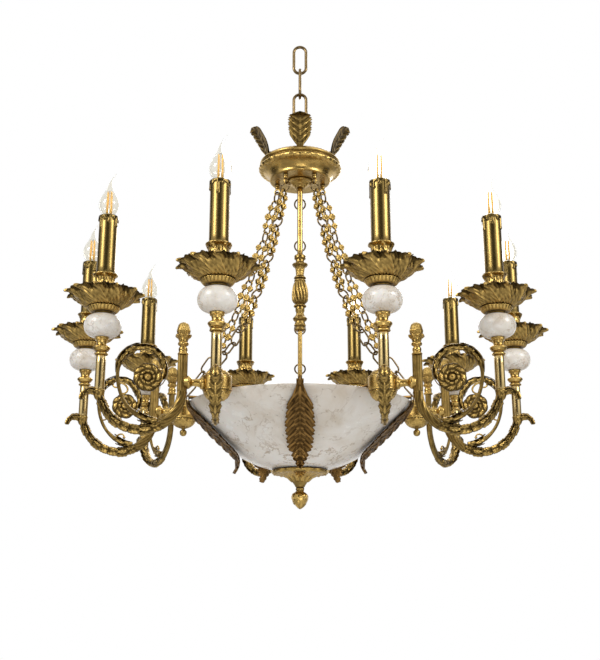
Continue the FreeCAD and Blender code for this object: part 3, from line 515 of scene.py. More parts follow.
# ---- rod and column: brass rod threaded at its ends, cover tube and three turned pieces ----
# The turnings are cut on a lathe; the vase's belly is chased with twisting gadroons.
def steel(name, tint, roughness):
    """Plated metal with fine marks in its gloss."""
    material, tree, shader = blank(name, Metallic=1.0, Base_Color=linear(tint))
    where = add(tree, "ShaderNodeTexCoord")
    mark = add(tree, "ShaderNodeTexNoise", {"Scale": 1 / (2.5 * MM), "Detail": 5.0},
               {"Vector": where.outputs["Object"]})
    rough = add(tree, "ShaderNodeMapRange", {"To Min": roughness - 0.08, "To Max": roughness + 0.15},
                {"Value": mark.outputs["Fac"]})
    tree.links.new(rough.outputs[0], shader.inputs["Roughness"])
    return material


plated_steel = steel("brass_plated_steel", "#B79A5E", 0.35)


def threaded(radius, bottom, top, pitch=1.25, depth=0.35):
    """Rod whose surface carries a thread."""
    rows = int((top - bottom) / pitch * 4)
    height = np.linspace(bottom, top, rows)[:, None]
    angle = np.linspace(0, 2 * math.pi, 16, endpoint=False)[None, :]
    round_radius = radius - depth * (0.5 + 0.5 * np.cos(2 * math.pi * height / pitch - angle))
    grid = np.stack([round_radius * np.cos(angle), round_radius * np.sin(angle), height + 0 * angle], -1)
    return capped(grid), 0.7, True, False


def nut(bottom, height=8.0, width=16.0, hole=4.2):
    """Hexagon nut with chamfered corners."""
    angle = np.linspace(0, 2 * math.pi, 72, endpoint=False)[None, :]
    flat = width / 2 * math.cos(math.pi / 6) / np.cos((angle % (math.pi / 3)) - math.pi / 6)
    rows = np.array([(hole, 0, 0), (width * 0.4, 0, 0), (0, 0.6, 1), (0, height - 0.6, 1),
                     (width * 0.4, height, 0), (hole, height, 0), (hole, 0, 0)])
    radius = np.where(rows[:, 2:] > 0, flat, rows[:, :1])
    radius = np.minimum(radius, width / 2 - 0.15)
    return np.stack([radius * np.cos(angle), radius * np.sin(angle),
                     bottom + rows[:, 1:2] + 0 * angle], -1), 0.7, True, False


fixed("rod", build("rod_mesh", [threaded(4, -246, -72),
                                lathe([(0, -72), (4, -72), (4, 345), (0, 345)], 24, step=9),
                                threaded(4, 345, 385)], antique_brass), "central_rod", "plated_steel")
fixed("nuts", build("nut_mesh", [nut(355), nut(-80), nut(-92), nut(-193)], plated_steel), "rod_nuts",
      "plated_steel")
fixed("cover_tube", build("cover_tube_mesh",
                          [lathe([(4.2, 204), (5.25, 204), (5.25, 339), (4.2, 339), (4.2, 204)], 40, ring=True,
                                 step=6)], antique_brass), "upper_tube")


def vase_relief(angle, radius, height):
    twist = np.cos(14 * angle + 0.16 * height)
    belly = np.interp(height, [108, 114, 146, 151], [0, 1, 0.8, 0])
    beads = np.interp(height, [99.5, 100.5, 104.5, 105], [0, 1, 1, 0]) * np.cos(20 * angle)
    return 1.1 * belly * (np.abs(twist) ** 0.7 * np.sign(twist)) + 0.4 * beads


def neck_relief(angle, radius, height):
    return 0.45 * np.cos(24 * angle) * np.interp(height, [182.5, 183, 185.5, 186], [0, 1, 1, 0]) \
        + 0.7 * leaves_round(angle, height, 160, 176, 6, 3)


def bell_relief(angle, radius, height):
    return 0.9 * leaves_round(angle, height, 80, 96, 8, 3) \
        + 0.5 * np.cos(16 * angle) * np.interp(height, [63, 64, 67, 68], [0, 1, 1, 0])


neck_profile = [(4.2, 156), (10.5, 156), (10.5, 159, 1), (7.5, 162), (10.5, 180, -1), (13.5, 182, 1),
                (13.5, 185, 1), (8, 189, -1), (8, 194), (10.5, 198, 1.5), (8, 203, 1.5), (6, 204), (4.2, 204),
                (4.2, 156)]
vase_profile = [(4.2, 101), (10.5, 101), (10.5, 104, 1), (8, 106), (14, 118, 2), (9.5, 150, 2), (10.5, 153, 1),
                (9, 156), (4.2, 156), (4.2, 101)]
bell_profile = [(4.2, 55), (8, 55), (10, 59, 1), (8, 63), (10, 67, 1.5), (9, 73), (13.5, 79, 1), (8.5, 95, -4),
                (8.5, 101), (4.2, 101), (4.2, 55)]
fixed("turned_column", build("turned_column_mesh", [
    lathe(neck_profile, 192, neck_relief, 0.7, 0.4, ring=True),
    lathe(vase_profile, 192, vase_relief, 0.7, 0.4, ring=True),
    lathe(bell_profile, 192, bell_relief, 0.7, 0.4, ring=True)], antique_brass),
      "column_turnings")


# ---- swag chains: bent wire rings and links, with cast openwork flower links between them ----
# The flower links are small castings: a pierced oblong with three flowers along each side.
SWAG = {"ring": 24.0, "flower": 71.4, "hook": 36.4, "oval": 35.4}
SWAG_ORDER = ["ring", "flower"] * 4 + ["ring", "hook", "oval", "oval"]
SWAG_WIRE = 3.2
PEG_EYE, HUB_EYE = 337.25, -54.0
swag_steps = [SWAG[kind] - 2 * SWAG_WIRE - 0.3 for kind in SWAG_ORDER]


def swag_places():
    """Joints of one chain hung from the crown's eye to the hub's eye, as (radius, height)."""
    slope = math.atan2(PEG_EYE - HUB_EYE - 10, HUB_RING - PEG_RING)
    inward = 2.1
    start = (PEG_RING - inward * math.cos(slope), PEG_EYE - 5 + inward * math.sin(slope))
    end = (HUB_RING + inward * math.cos(slope), HUB_EYE + 5 - inward * math.sin(slope))
    across, drop, length = end[0] - start[0], end[1] - start[1], sum(swag_steps)
    low, high = across / 40, across * 40
    for _ in range(80):
        scale = (low + high) / 2
        longer = 2 * scale * math.sinh(across / (2 * scale)) > math.sqrt(length ** 2 - drop ** 2)
        low, high = (scale, high) if longer else (low, scale)
    middle = (start[0] + end[0]) / 2 - scale * math.atanh(drop / length)
    begin = math.sinh((start[0] - middle) / scale)
    done = np.concatenate([[0], np.cumsum(swag_steps)])
    radius = middle + scale * np.arcsinh(begin + done / scale)
    return np.stack([radius, start[1] + scale * (np.cosh((radius - middle) / scale)
                                                 - math.cosh((start[0] - middle) / scale))], -1)


def blossom(radius, x, z, side):
    """Small cast flower in the XZ plane: six cupped petals round a heart, on one face."""
    angle = np.linspace(0, 2 * math.pi, 30, endpoint=False)[None, :]
    out = np.array([0, 0.28, 0.42, 0.6, 0.8, 0.95, 1.0, 0.9, 0])[:, None]
    edge = radius * (0.86 + 0.14 * np.abs(np.cos(3 * angle)))
    height = np.array([2.3, 1.9, 1.0, 1.9, 1.9, 1.2, 0.5, 0, 0])[:, None] \
        * (1 - 0.3 * (out > 0.3) * (1 - np.abs(np.cos(3 * angle)))) * radius / 4.5
    grid = np.stack([x + out * edge * np.cos(angle), side * (0.6 + height), z + out * edge * np.sin(angle)], -1)
    return grid, 0.25 + 0.3 * height, True, False


def flower_link_surfaces():
    """Pierced oblong ring, six pairs of flowers and small leaves between them."""
    surfaces = [(tube(oblong(71.4, 15, SWAG_WIRE, 12), SWAG_WIRE / 2 - 0.1, closed=True, sides=10), 0.7, True,
                 True)]
    for along, radius in ((-1, 6.0), (0, 7.0), (1, 6.0)):
        for left in (-1, 1):
            for face in (-1, 1):
                surfaces.append(blossom(radius, left * 6.3, along * 18.6, face))
    for along in (-1, 1):
        for left in (-1, 1):
            for end in (9.4, 27.5):
                stem = track(left * 6.2, along * end - 3.4, 90 + left * 14, [("on", 6.8)])
                middle = leaf(stem, 3.6, 1.6, 2, 0.3, 0.1, 0.1, 14, 9, None, 1, 0.7)
                surfaces.append(middle)
    return surfaces


hook_path = oblong(36.4, 20, SWAG_WIRE, 14)
hook_path = hook_path[~((hook_path[:, 0] > 5) & (hook_path[:, 2] > 3.0) & (hook_path[:, 2] < 9))]
opening = int(np.argmax(np.linalg.norm(np.diff(hook_path, axis=0), axis=1))) + 1
hook_path = np.roll(hook_path, -opening, 0)
swag_meshes = {
    "ring": build("swag_ring_mesh", [(torus(10.4, SWAG_WIRE), 0.8, True, True)], chain_brass),
    "flower": build("flower_link_mesh", flower_link_surfaces(), antique_brass),
    "hook": build("chain_hook_mesh", [(capped(tube(hook_path, SWAG_WIRE / 2, sides=14)), 0.8, True, False)],
                  chain_brass),
    "oval": build("oval_link_mesh", [(tube(oblong(35.4, 17, SWAG_WIRE), SWAG_WIRE / 2, closed=True), 0.8, True,
                                      True)], chain_brass)}
swag_nodes = {"ring": "swag_rings", "flower": "flower_links", "hook": "chain_hooks", "oval": "oval_links"}
joints = swag_places()
for number, azimuth in enumerate(HUB_AZIMUTHS):
    for place, kind in enumerate(SWAG_ORDER):
        middle = (joints[place] + joints[place + 1]) / 2
        run = joints[place + 1] - joints[place]
        fixed("swag_%d_%s_%d" % (number + 1, kind, place + 1), swag_meshes[kind], swag_nodes[kind],
              "antique_brass" if kind == "flower" else "chain_brass", z=middle[1],
              spin=90 * (1 - place % 2), lean=math.degrees(math.atan2(-run[0], -run[1])),
              **at_azimuth(azimuth, middle[0]))


# ---- bowl: turned and polished alabaster, milky with tan veins and small dark specks ----
# The stone is about 10 mm thick and lets light in, so it glows softly at its edges.
def alabaster_stone(name, scale_mm):
    """Translucent stone: cloudy bands, warped tan veins and specks, from the object's own place."""
    material, tree, shader = blank(name, Subsurface_Weight=0.3, Subsurface_Radius=(5.0, 4.0, 3.0),
                                   Subsurface_Scale=MM)
    where = add(tree, "ShaderNodeNewGeometry")
    warp = add(tree, "ShaderNodeTexNoise", {"Scale": 1 / (2.2 * scale_mm * MM), "Detail": 5.0},
               {"Vector": where.outputs["Position"]})
    bent = add(tree, "ShaderNodeVectorMath", {"operation": "SCALE"}, {0: warp.outputs["Color"]})
    bent.inputs["Scale"].default_value = 1.6 * scale_mm * MM
    moved = add(tree, "ShaderNodeVectorMath", {"operation": "ADD"},
                {0: where.outputs["Position"], 1: bent.outputs[0]})
    cloud = add(tree, "ShaderNodeTexNoise", {"Scale": 1 / (1.5 * scale_mm * MM), "Detail": 6.0,
                                             "Roughness": 0.55},
                {"Vector": moved.outputs[0]})
    lines = add(tree, "ShaderNodeTexNoise", {"Scale": 1 / (scale_mm * MM), "Detail": 7.0, "Roughness": 0.6},
                {"Vector": moved.outputs[0]})
    centred = add(tree, "ShaderNodeMath", {"operation": "SUBTRACT", 1: 0.5}, {0: lines.outputs["Fac"]})
    width = add(tree, "ShaderNodeMath", {"operation": "ABSOLUTE"}, {0: centred.outputs[0]})
    vein = add(tree, "ShaderNodeMapRange", {"From Min": 0.0, "From Max": 0.022, "To Min": 1.0, "To Max": 0.0},
               {"Value": width.outputs[0]})
    patch = add(tree, "ShaderNodeMapRange", {"From Min": 0.42, "From Max": 0.6, "To Min": 0.8, "To Max": 0.1},
                {"Value": warp.outputs["Fac"]})
    specks = add(tree, "ShaderNodeTexVoronoi", {"Scale": 1 / (0.33 * scale_mm * MM)},
                 {"Vector": moved.outputs[0]})
    speck = add(tree, "ShaderNodeMapRange", {"From Min": 0.06, "From Max": 0.13, "To Min": 1.0, "To Max": 0.0},
                {"Value": specks.outputs["Distance"]})
    band_tone = add(tree, "ShaderNodeValToRGB", None, {"Fac": cloud.outputs["Fac"]})
    ramp = band_tone.color_ramp
    ramp.elements[0].position, ramp.elements[0].color = 0.3, linear("#D5C9B8")
    ramp.elements[1].position, ramp.elements[1].color = 0.5, linear("#E5DED3")
    ramp.elements.new(0.72).color = linear("#F0ECE5")
    veined = add(tree, "ShaderNodeMix", {"data_type": "RGBA"})
    faint = add(tree, "ShaderNodeMath", {"operation": "MULTIPLY"}, {0: vein.outputs[0], 1: patch.outputs[0]})
    tree.links.new(faint.outputs[0], veined.inputs[0])
    tree.links.new(band_tone.outputs[0], veined.inputs[6])
    veined.inputs[7].default_value = linear("#9C8262")
    spotted = add(tree, "ShaderNodeMix", {"data_type": "RGBA"})
    few = add(tree, "ShaderNodeMath", {"operation": "MULTIPLY", 1: 0.45}, {0: speck.outputs[0]})
    tree.links.new(few.outputs[0], spotted.inputs[0])
    tree.links.new(veined.outputs[2], spotted.inputs[6])
    spotted.inputs[7].default_value = linear("#7C6247")
    tree.links.new(spotted.outputs[2], shader.inputs["Base Color"])
    rough = add(tree, "ShaderNodeMapRange", {"To Min": 0.16, "To Max": 0.34}, {"Value": cloud.outputs["Fac"]})
    tree.links.new(rough.outputs[0], shader.inputs["Roughness"])
    return material


alabaster = alabaster_stone("veined_alabaster", 40)
BOWL_RIM, BOWL_DEPTH = 202.0, 115.0
bowl_shape = [(1.0, 0.0, 0, 0), (0.792, 0.39, 47, -4.0), (0.52, 0.785, 58, -1.2), (0.15, 1.0, 90, -4.0)]


def bowl_side(inset):
    """Corners of the bowl's surface, moved into the stone."""
    corners = []
    for share, depth, slope, bulge in bowl_shape:
        along = math.radians(slope)
        corners.append((BOWL_RIM * share - inset * math.cos(along),
                        -88 - BOWL_DEPTH * depth + inset * math.sin(along), bulge))
    return corners


outer, inner = bowl_side(0), bowl_side(10)
bowl_profile = [(5.2, -203)] + [(outer[3][0], outer[3][1])]
for number in (2, 1, 0):
    bowl_profile.append((outer[number][0], outer[number][1], -outer[number + 1][2]))
bowl_profile += [(199, -86.9, 0.6), (194, -86.9, 0.3), (inner[0][0], inner[0][1], 0.6), inner[1], inner[2],
                 inner[3], (5.2, -193), (5.2, -203)]
fixed("bowl", build("bowl_mesh", [lathe(bowl_profile, 256, None, 3, 0.7, ring=True)], alabaster),
      "alabaster_bowl", "alabaster")


# ---- what carries the bowl: flat spider, five cast leaf brackets, bottom cup and bud finial ----
# The brackets hook over the spider's bars; their cast leaves stay browner than the arms.
brown_brass = cast_brass("brown_cast_brass", "#B98F52", "#1E1004", 0.28)


def slab(half_width, start, end, bottom, top, azimuth, edge=0.5):
    """Flat bar from a start radius to an end radius along an azimuth."""
    section = np.array([(-half_width + edge, bottom), (half_width - edge, bottom), (half_width, bottom + edge),
                        (half_width, top - edge), (half_width - edge, top), (-half_width + edge, top),
                        (-half_width, top - edge), (-half_width, bottom + edge)])
    along = math.radians(azimuth)
    grid = []
    for reach, share in ((start, 0), (start, 1), (end, 1), (end, 0)):
        y, z = section[:, 0] * share, section[:, 1] * share + (bottom + top) / 2 * (1 - share)
        grid.append(np.stack([reach * math.sin(along) + y * math.cos(along),
                              -reach * math.cos(along) + y * math.sin(along), z], -1))
    return np.array(grid), 0.5, True, False


spider_surfaces = [lathe([(4.2, -84), (31.5, -84), (32, -83.5), (32, -80.5), (31.5, -80), (4.2, -80),
                          (4.2, -84)], 96,
                         ring=True, step=4)]
for number in range(5):
    spider_surfaces.append(slab(6, 28, 204, -84, -80, 72 * number))
    spider_surfaces.append(slab(6, 28, 205.3, -84, -80, 72 * number + 36))
fixed("spider", build("spider_mesh", spider_surfaces, brown_brass), "bowl_spider", "plated_steel")

bracket_path = track(207, -71.8, -90, [("on", 13.2), (30, -47.4), ("on", 104), (20, 50), (25, 30), ("on", 6)])


def bracket_envelope(v):
    return np.interp(v, [0, 0.02, 0.03, 0.06, 0.15, 0.4, 0.7, 0.84, 0.93, 1.0],
                     [0.4, 0.4, 0.27, 0.5, 0.85, 1, 0.85, 0.5, 0.28, 0.16])


bracket_surfaces = [leaf(bracket_path, 27, 4, 9, 0.34, 0.17, 0.1, 330, 45, bracket_envelope, 2, 2.0)]
for share in (0.18, 0.36, 0.54, 0.72):
    low, high = int(share * len(bracket_path)), int(min(share + 0.24, 0.97) * len(bracket_path))
    lifted = bracket_path[low:high] + np.linspace(0.6, 2.4, high - low)[:, None] * np.array([0.74, -0.67])
    bracket_surfaces.append(leaf(lifted, 12 - 9 * abs(share - 0.4), 1.5, 4, 0.34, 0.25, -0.06, 60, 21, None, 2,
                                 1.2))
bracket_mesh = build("bracket_mesh", bracket_surfaces, brown_brass)
for number in range(5):
    fixed("bracket_" + str(number + 1), bracket_mesh, "bowl_brackets", turn=72 * number - 90)


def cup_relief(angle, radius, height):
    """Overlapping leaves from the neck to the lip and a ragged leafy lip."""
    share = np.interp(radius, [10, 50], [0, 1])
    outside = height < -203.5
    fronds = leaves_round(angle, share, 0.1, 0.97, 12, 4) * 1.7
    between = leaves_round(angle, share, 0.3, 1.0, 12, 3, 0.5) * 1.1
    lip = 1.2 * np.abs(np.sin(6 * angle)) ** 0.5 * np.interp(radius, [44, 50], [0, 1])
    return np.where(outside, np.maximum(fronds, between), 0) + lip - 0.4 * (radius > 44)


cup_profile = [(4.2, -232), (6.5, -232), (9, -229, 0.6), (46, -207.5, -6), (50, -206, 0.8), (49, -202, 1.2),
               (45, -204), (30, -203), (4.2, -203), (4.2, -232)]
fixed("bottom_leaf_cup", build("bottom_cup_mesh", [lathe(cup_profile, 360, cup_relief, 0.8, 0.45, ring=True)],
                               antique_brass), "bottom_cup")


def bud_relief(angle, radius, height):
    low = leaves_round(angle, -height, 238, 262, 5, 3) * 1.6
    high = leaves_round(angle, -height, 246, 269, 5, 2, 0.5) * 1.3
    return np.maximum(low, high)


bud_profile = [(0, -269), (1.5, -268, 0.3), (13.5, -249.8, 2.5), (9, -242, 2), (6, -238, -0.6),
               (7.5, -235, 0.6), (6.5, -232, 0.6), (0, -232)]
fixed("bud", build("bud_mesh", [lathe(bud_profile, 120, bud_relief, 0.5, 0.5)], antique_brass), "bud_finial")

# ---- hubs: brass cylinders with a leafy dome and eye above and a leafy drop and ball below ----
# The cylinders are turned; domes and drops are cast and screwed on.
hub_mesh = build("hub_mesh", [lathe([(0, -97), (23.4, -97), (24, -96.4), (24, -95), (23.5, -94.6), (24, -94.2),
                                     (24, -76), (23.5, -75.5), (24, -75), (24, -73.6), (23.4, -73), (0, -73)],
                                     96,
                                    tone=0.75)], antique_brass)


def dome_relief(angle, radius, height):
    return 1.3 * leaves_round(angle, height, -72.6, -60, 8, 3) * (height > -72.7) \
        + 0.5 * leaves_round(angle, height, -70, -59.5, 8, 2, 0.5) * (height > -70)


dome_mesh = build("hub_dome_mesh", [
    lathe([(0, -73), (19, -73), (19, -70, 1), (9, -64, 2), (4, -59, 1), (0, -59)], 160, dome_relief, 0.5, 0.5),
    (torus(5, 3)[..., [1, 0, 2]] + np.array([0, 0, HUB_EYE]), 0.8, True, True)], antique_brass)


def drop_relief(angle, radius, height):
    return 1.4 * leaves_round(angle, -height, 97.5, 112, 8, 3) \
        + 0.9 * leaves_round(angle, -height, 103, 113.5, 8, 2, 0.5)


drop_mesh = build("hub_drop_mesh", [
    lathe([(0, -129), (6.5, -122.5, 1.95), (3.25, -117, 1.3), (3.25, -115), (6.5, -113, 0.6), (21, -101, 2),
           (21, -97, 1), (0, -97)], 160, drop_relief, 0.5, 0.5)], antique_brass)
for number, azimuth in enumerate(HUB_AZIMUTHS):
    for node, mesh in (("hub_bodies", hub_mesh), ("hub_domes", dome_mesh), ("hub_drops", drop_mesh)):
        fixed("%s_%d" % (node, number + 1), mesh, node,
              "satin_brass" if node == "hub_bodies" else "antique_brass", **at_azimuth(azimuth, HUB_RING))


# ---- arms: ten cast arms, two to a hub: spool, fluted shaft with an acorn, reeded bow, leaf, scroll ----
# Each arm is cast in pieces, brazed and chased; the reeding and the leaves hold dark patina.
ARM_SPLAY, ARM_REACH, UPRIGHT_X = 40.2, 187.1, 57.0
BOW_RADIUS = (ARM_REACH - UPRIGHT_X) / 2


def normals(path):
    """Unit normals to the left of a path of (x, z) points."""
    slope = np.gradient(path, axis=0)
    return np.stack([-slope[:, 1], slope[:, 0]], -1) / np.linalg.norm(slope, axis=1)[:, None]


def flat(path):
    """Path of (x, z) points as points of the XZ plane."""
    return np.insert(path, 1, 0, axis=1)


def at_x(surface, x):
    """Surface moved along X."""
    return (surface[0] + np.array([x, 0, 0]),) + surface[1:]


def scales(v, angle, tiers, count, lobes=2, twist=0.0):
    """Overlapping tiers of leaves along and round a bar; v runs from 0 to 1 along it."""
    tier = np.floor(v * tiers)
    place = angle * count / (2 * math.pi) + 0.5 * (tier % 2) + twist * v
    return leafage(2 * (place - np.floor(place)) - 1, v * tiers - tier, lobes)


def bar(path, radii, bumps, sides=28, tone=0.3):
    """Oval bar with chased relief along a path; radii are half depth and half thickness."""
    along = np.linspace(0, 1, len(path))[:, None]
    angle = np.linspace(0, 2 * math.pi, sides, endpoint=False)[None, :]
    lift = bumps(along, angle) + 0 * along * angle
    grid = tube(flat(path), radii, sides=sides, bumps=bumps)
    tones = np.clip(tone + 0.42 * lift, 0, 1)
    return (capped(grid), np.concatenate([tones[:1], tones, tones[-1:]]), True, False)


def reeds(v, angle):
    """Upright flutes that slant into a rope of reeds, and end under the first leaves."""
    slant = 22 * np.clip(v - 0.05, 0, 1)
    rope = np.abs(np.sin(5 * angle + slant)) ** 0.6 - 0.6
    leafy = np.clip((v - 0.55) / 0.05, 0, 1)
    return (1 - leafy) * 0.9 * rope + leafy * (2.6 * scales(v, angle, 7, 4, 3) - 0.9)


def fluted(v, angle):
    return 0.7 + 0.55 * np.abs(np.cos(7 * angle)) ** 0.7 - 0.85


def leafy_bar(v, angle):
    return 2.6 * scales(v, angle, 7, 4, 3) - 0.8


bow_path = track(UPRIGHT_X, -100, -90, [(BOW_RADIUS, 105)])
rise_path = track(bow_path[-1, 0], bow_path[-1, 1], 15, [(BOW_RADIUS, 60), (15, -165)])
rise_share = np.linspace(0, 1, len(rise_path))[:, None]
leaf_radii = np.concatenate([np.interp(rise_share, [0, 0.6, 0.85, 1], [7.4, 6.5, 4.5, 3.6]),
                             np.interp(rise_share, [0, 0.6, 0.85, 1], [4.8, 4.2, 3.6, 3.2])], 1)
upright_mesh = build("arm_upright_mesh",
                     [bar(track(UPRIGHT_X, -100, 90, [("on", 60)]), np.array([[7.8, 4.8]]), fluted, 84)],
                     antique_brass)
bow_surfaces = [bar(bow_path, np.array([[7.6, 4.6]]), reeds, 44)]
bow_leaf_path = bow_path[int(len(bow_path) * 0.5):]
for side in (-1, 1):
    bow_surfaces.append(leaf(bow_leaf_path + normals(bow_leaf_path) * 6.4 * side, 6.5, 1.5, 4, 0.3, 0.1, -0.25,
                             70, 17, None, 2, 0.9, side))
bow_mesh = build("arm_bow_mesh", bow_surfaces, antique_brass)

arm_leaf_surfaces = [bar(rise_path, leaf_radii, leafy_bar, 40)]


def arm_leaf_envelope(v):
    return np.interp(v, [0, 0.15, 0.5, 0.8, 0.95, 1.0], [0.6, 0.95, 1.0, 0.75, 0.6, 0.3])


for side, half_width in ((-1, 10.5), (1, 9.0)):
    arm_leaf_surfaces.append(leaf(rise_path + normals(rise_path) * leaf_radii[:, :1] * 0.8 * side, half_width,
                                  1.6, 8, 0.36, 0.1, -0.22, 170, 21, arm_leaf_envelope, 3, 1.3, side))
arm_leaf_surfaces.append(at_x(lathe([(0, -121), (5, -120), (8.2, -112, 1), (8.6, -107), (9, -105, 0.4),
                                     (8.4, -104), (0, -104)], 40, tone=0.5), ARM_REACH))
arm_leaf_mesh = build("arm_leaf_mesh", arm_leaf_surfaces, antique_brass)

scroll_path = track(UPRIGHT_X + 38, -150, 0, [(62, 65), (95, 30), (38, 85), (36, 90), (30, 60)])
scroll_share = np.linspace(0, 1, len(scroll_path))
scroll_radii = np.interp(scroll_share, [0, 0.12, 0.2, 0.42, 0.5, 0.8, 1.0],
                         [5.2, 4.2, 2.9, 2.9, 4.8, 4.2, 2.0])[:, None]


def scroll_relief(v, angle):
    leafy = np.clip((v - 0.46) / 0.03, 0, 1) + np.clip((0.14 - v) / 0.03, 0, 1)
    return leafy * (1.9 * scales(v, angle, 16, 3, 2) - 0.4)


scroll_surfaces = [bar(scroll_path, scroll_radii, scroll_relief, 28)]
scroll_normals = normals(scroll_path)
count = len(scroll_path)
for low, high, side, wide in ((0.42, 0.66, -1, 9), (0.46, 0.62, 1, 7), (0.6, 0.82, -1, 8.5), (0.7, 0.86, 1, 6),
                              (0.78, 0.98, -1, 7.5), (0.0, 0.16, 1, 7.5), (0.0, 0.12, -1, 6)):
    span = slice(int(low * count), int(high * count))
    flare = np.linspace(0, 4.0, span.stop - span.start)[:, None]
    leaf_path = scroll_path[span] + scroll_normals[span] * (scroll_radii[span] * 0.8 + flare) * side
    scroll_surfaces.append(leaf(leaf_path, wide, 1.3, 4, 0.42, 0.14, -0.12, 56, 17, None, 2, 1.2, side))


def ball(x, y, z, radius, tone=0.85):
    """Small bead."""
    lift = np.linspace(-math.pi / 2, math.pi / 2, 13)[:, None]
    angle = np.linspace(0, 2 * math.pi, 16, endpoint=False)[None, :]
    return (np.stack([x + radius * np.cos(lift) * np.cos(angle), y + radius * np.cos(lift) * np.sin(angle),
                      z + radius * np.sin(lift) + 0 * angle], -1), tone, True, False)


for run, start in (([(14, 70), (7, 130), (4.5, 90)], (0.36, 170)), ([(10, -60), (6, -150)], (0.62, -60)),
                   ([(9, 100), (5, 100)], (0.12, 80))):
    begin = scroll_path[int(start[0] * count)]
    tendril = track(begin[0], begin[1], start[1], run)
    scroll_surfaces.append(bar(tendril, np.linspace(1.9, 1.2, len(tendril))[:, None], lambda v, a: 0 * v * a,
                               12, tone=0.8))
    scroll_surfaces.append(ball(tendril[-1, 0], 0, tendril[-1, 1], 2.6))
scroll_surfaces.append(ball(scroll_path[-1, 0], 0, scroll_path[-1, 1], 4.0))
scroll_mesh = build("arm_scroll_mesh", scroll_surfaces, antique_brass)


def rosette(radius, x, z, side):
    """Cast flower in the XZ plane: a beaded heart and eight twisted petals with veins."""
    out = np.concatenate([np.linspace(0, 1, 34), [1.0]])[:, None]
    angle = np.linspace(0, 2 * math.pi, 128, endpoint=False)[None, :]
    twisted = angle + 1.1 * out
    petal = np.abs(np.cos(4 * twisted)) ** 0.6
    inner_petal = np.abs(np.sin(4 * twisted)) ** 0.6
    heart = np.sqrt(np.clip(1 - (out / 0.26) ** 2, 0, 1)) * (1 + 0.12 * np.cos(10 * angle) * (out > 0.1))
    inner_ring = np.exp(-((out - 0.42) / 0.12) ** 2) * (0.35 + 0.65 * inner_petal)
    outer_ring = np.exp(-((out - 0.76) / 0.17) ** 2) * (0.25 + 0.75 * petal)
    veins = 0.12 * np.cos(32 * twisted) * np.clip(out * 2 - 0.8, 0, 1)
    height = 1.6 + 4.6 * heart + 3.4 * inner_ring + 3.9 * outer_ring + veins * 3
    height = np.where(out >= 1, 1.2, height)
    height[-1] = 0
    edge = radius * (1 - 0.07 * (1 - petal) * (out > 0.6))
    grid = np.stack([x + out * edge * np.cos(angle), side * height + 0 * angle, z + out * edge * np.sin(angle)],
                    -1)
    return grid, np.clip((height - 3.4) / 2.2 + 3 * veins, 0, 1), True, False


rosette_mesh = build("rosette_mesh", [rosette(23.5, UPRIGHT_X + 55.2, -80, side) for side in (-1, 1)],
                     antique_brass)


def along_x(surface, x, z):
    """Turned surface laid along X."""
    grid, tones, joined, ring = surface
    return grid[..., [2, 1, 0]] + np.array([x, 0, z]), tones, joined, ring


spool_mesh = build("spool_mesh", [along_x(lathe(
    [(0, 0), (9.5, 0.6), (10.5, 2), (10.5, 5), (9.6, 5.5), (10, 6.4), (7, 9, -1), (6.4, 14, -0.4), (7, 21, -1),
     (9.4, 23.4), (10.5, 25), (10.5, 28, 0.5), (7.5, 34), (0, 36)], 56, step=0.8, tone=0.75), 21, -85)],
     antique_brass)


collar_mesh = build("arm_collar_mesh", [at_x(lathe(
    [(0, -40), (8, -40), (8, -37, 1), (7, -35.5), (7, -33), (7.6, -32), (7, -28), (6, -25, -1), (9, -21, 1),
     (8, -19), (0, -19)], 56, step=0.7, tone=0.8), UPRIGHT_X)], antique_brass)


def acorn_relief(angle, radius, height):
    cup = 1.4 * leaves_round(angle, height, -18.8, -6.5, 8, 2) * (height < -6.6)
    share = np.clip((height + 5) / 19, 0, 1)
    ribs = 1.0 * np.abs(np.cos(9 * angle)) ** 0.5 * np.abs(np.cos(math.pi * (height + 5) / 5.2)) ** 0.3
    return cup + ribs * (height > -5) * (1 - 0.5 * share)


acorn_mesh = build("acorn_mesh", [at_x(lathe(
    [(0, -19), (6, -19), (12, -9, -1.5), (12, -7, 0.6), (9.6, -5), (9.4, 5, 1), (1, 14.7, 2.5), (0, 15)], 108,
    acorn_relief, 0.6, 0.5), UPRIGHT_X)], antique_brass)
ARM_PIECES = (("spools", spool_mesh), ("arm_uprights", upright_mesh), ("arm_bows", bow_mesh),
              ("arm_leaves", arm_leaf_mesh), ("arm_scrolls", scroll_mesh), ("scroll_rosettes", rosette_mesh),
              ("arm_collars", collar_mesh), ("acorn_finials", acorn_mesh))
number = 0
for azimuth in HUB_AZIMUTHS:
    for side in (-1, 1):
        number += 1
        place = at_azimuth(azimuth, HUB_RING)
        place["turn"] += side * ARM_SPLAY
        for node, mesh in ARM_PIECES:
            fixed("%s_%d" % (node, number), mesh, node, **place)


# ---- candles: stem, collar, alabaster ball, fluted cup, leaf dish, leaf cup and sleeve ----
# Sleeves are drawn brass tube with a satin gold lacquer, wax drips cast on their tops.
satin_brass = satin("satin_gold_brass", "#8C7644", "#1E1204", 0.26)
stem_brass = satin("satin_antique_brass", "#CDB47C", "#2E1E0A", 0.2)
ball_stone = alabaster_stone("ball_alabaster", 17)
stem_mesh = build("stem_mesh", [lathe([(0, -104), (7.4, -104), (8, -103.3), (8, -48), (5, -48), (5, 94),
                                       (0, 94)], 56,
                                      step=8, tone=0.9)], stem_brass)


def collar_relief(angle, radius, height):
    return 0.3 * np.cos(28 * angle) * band(-39, -34, height)


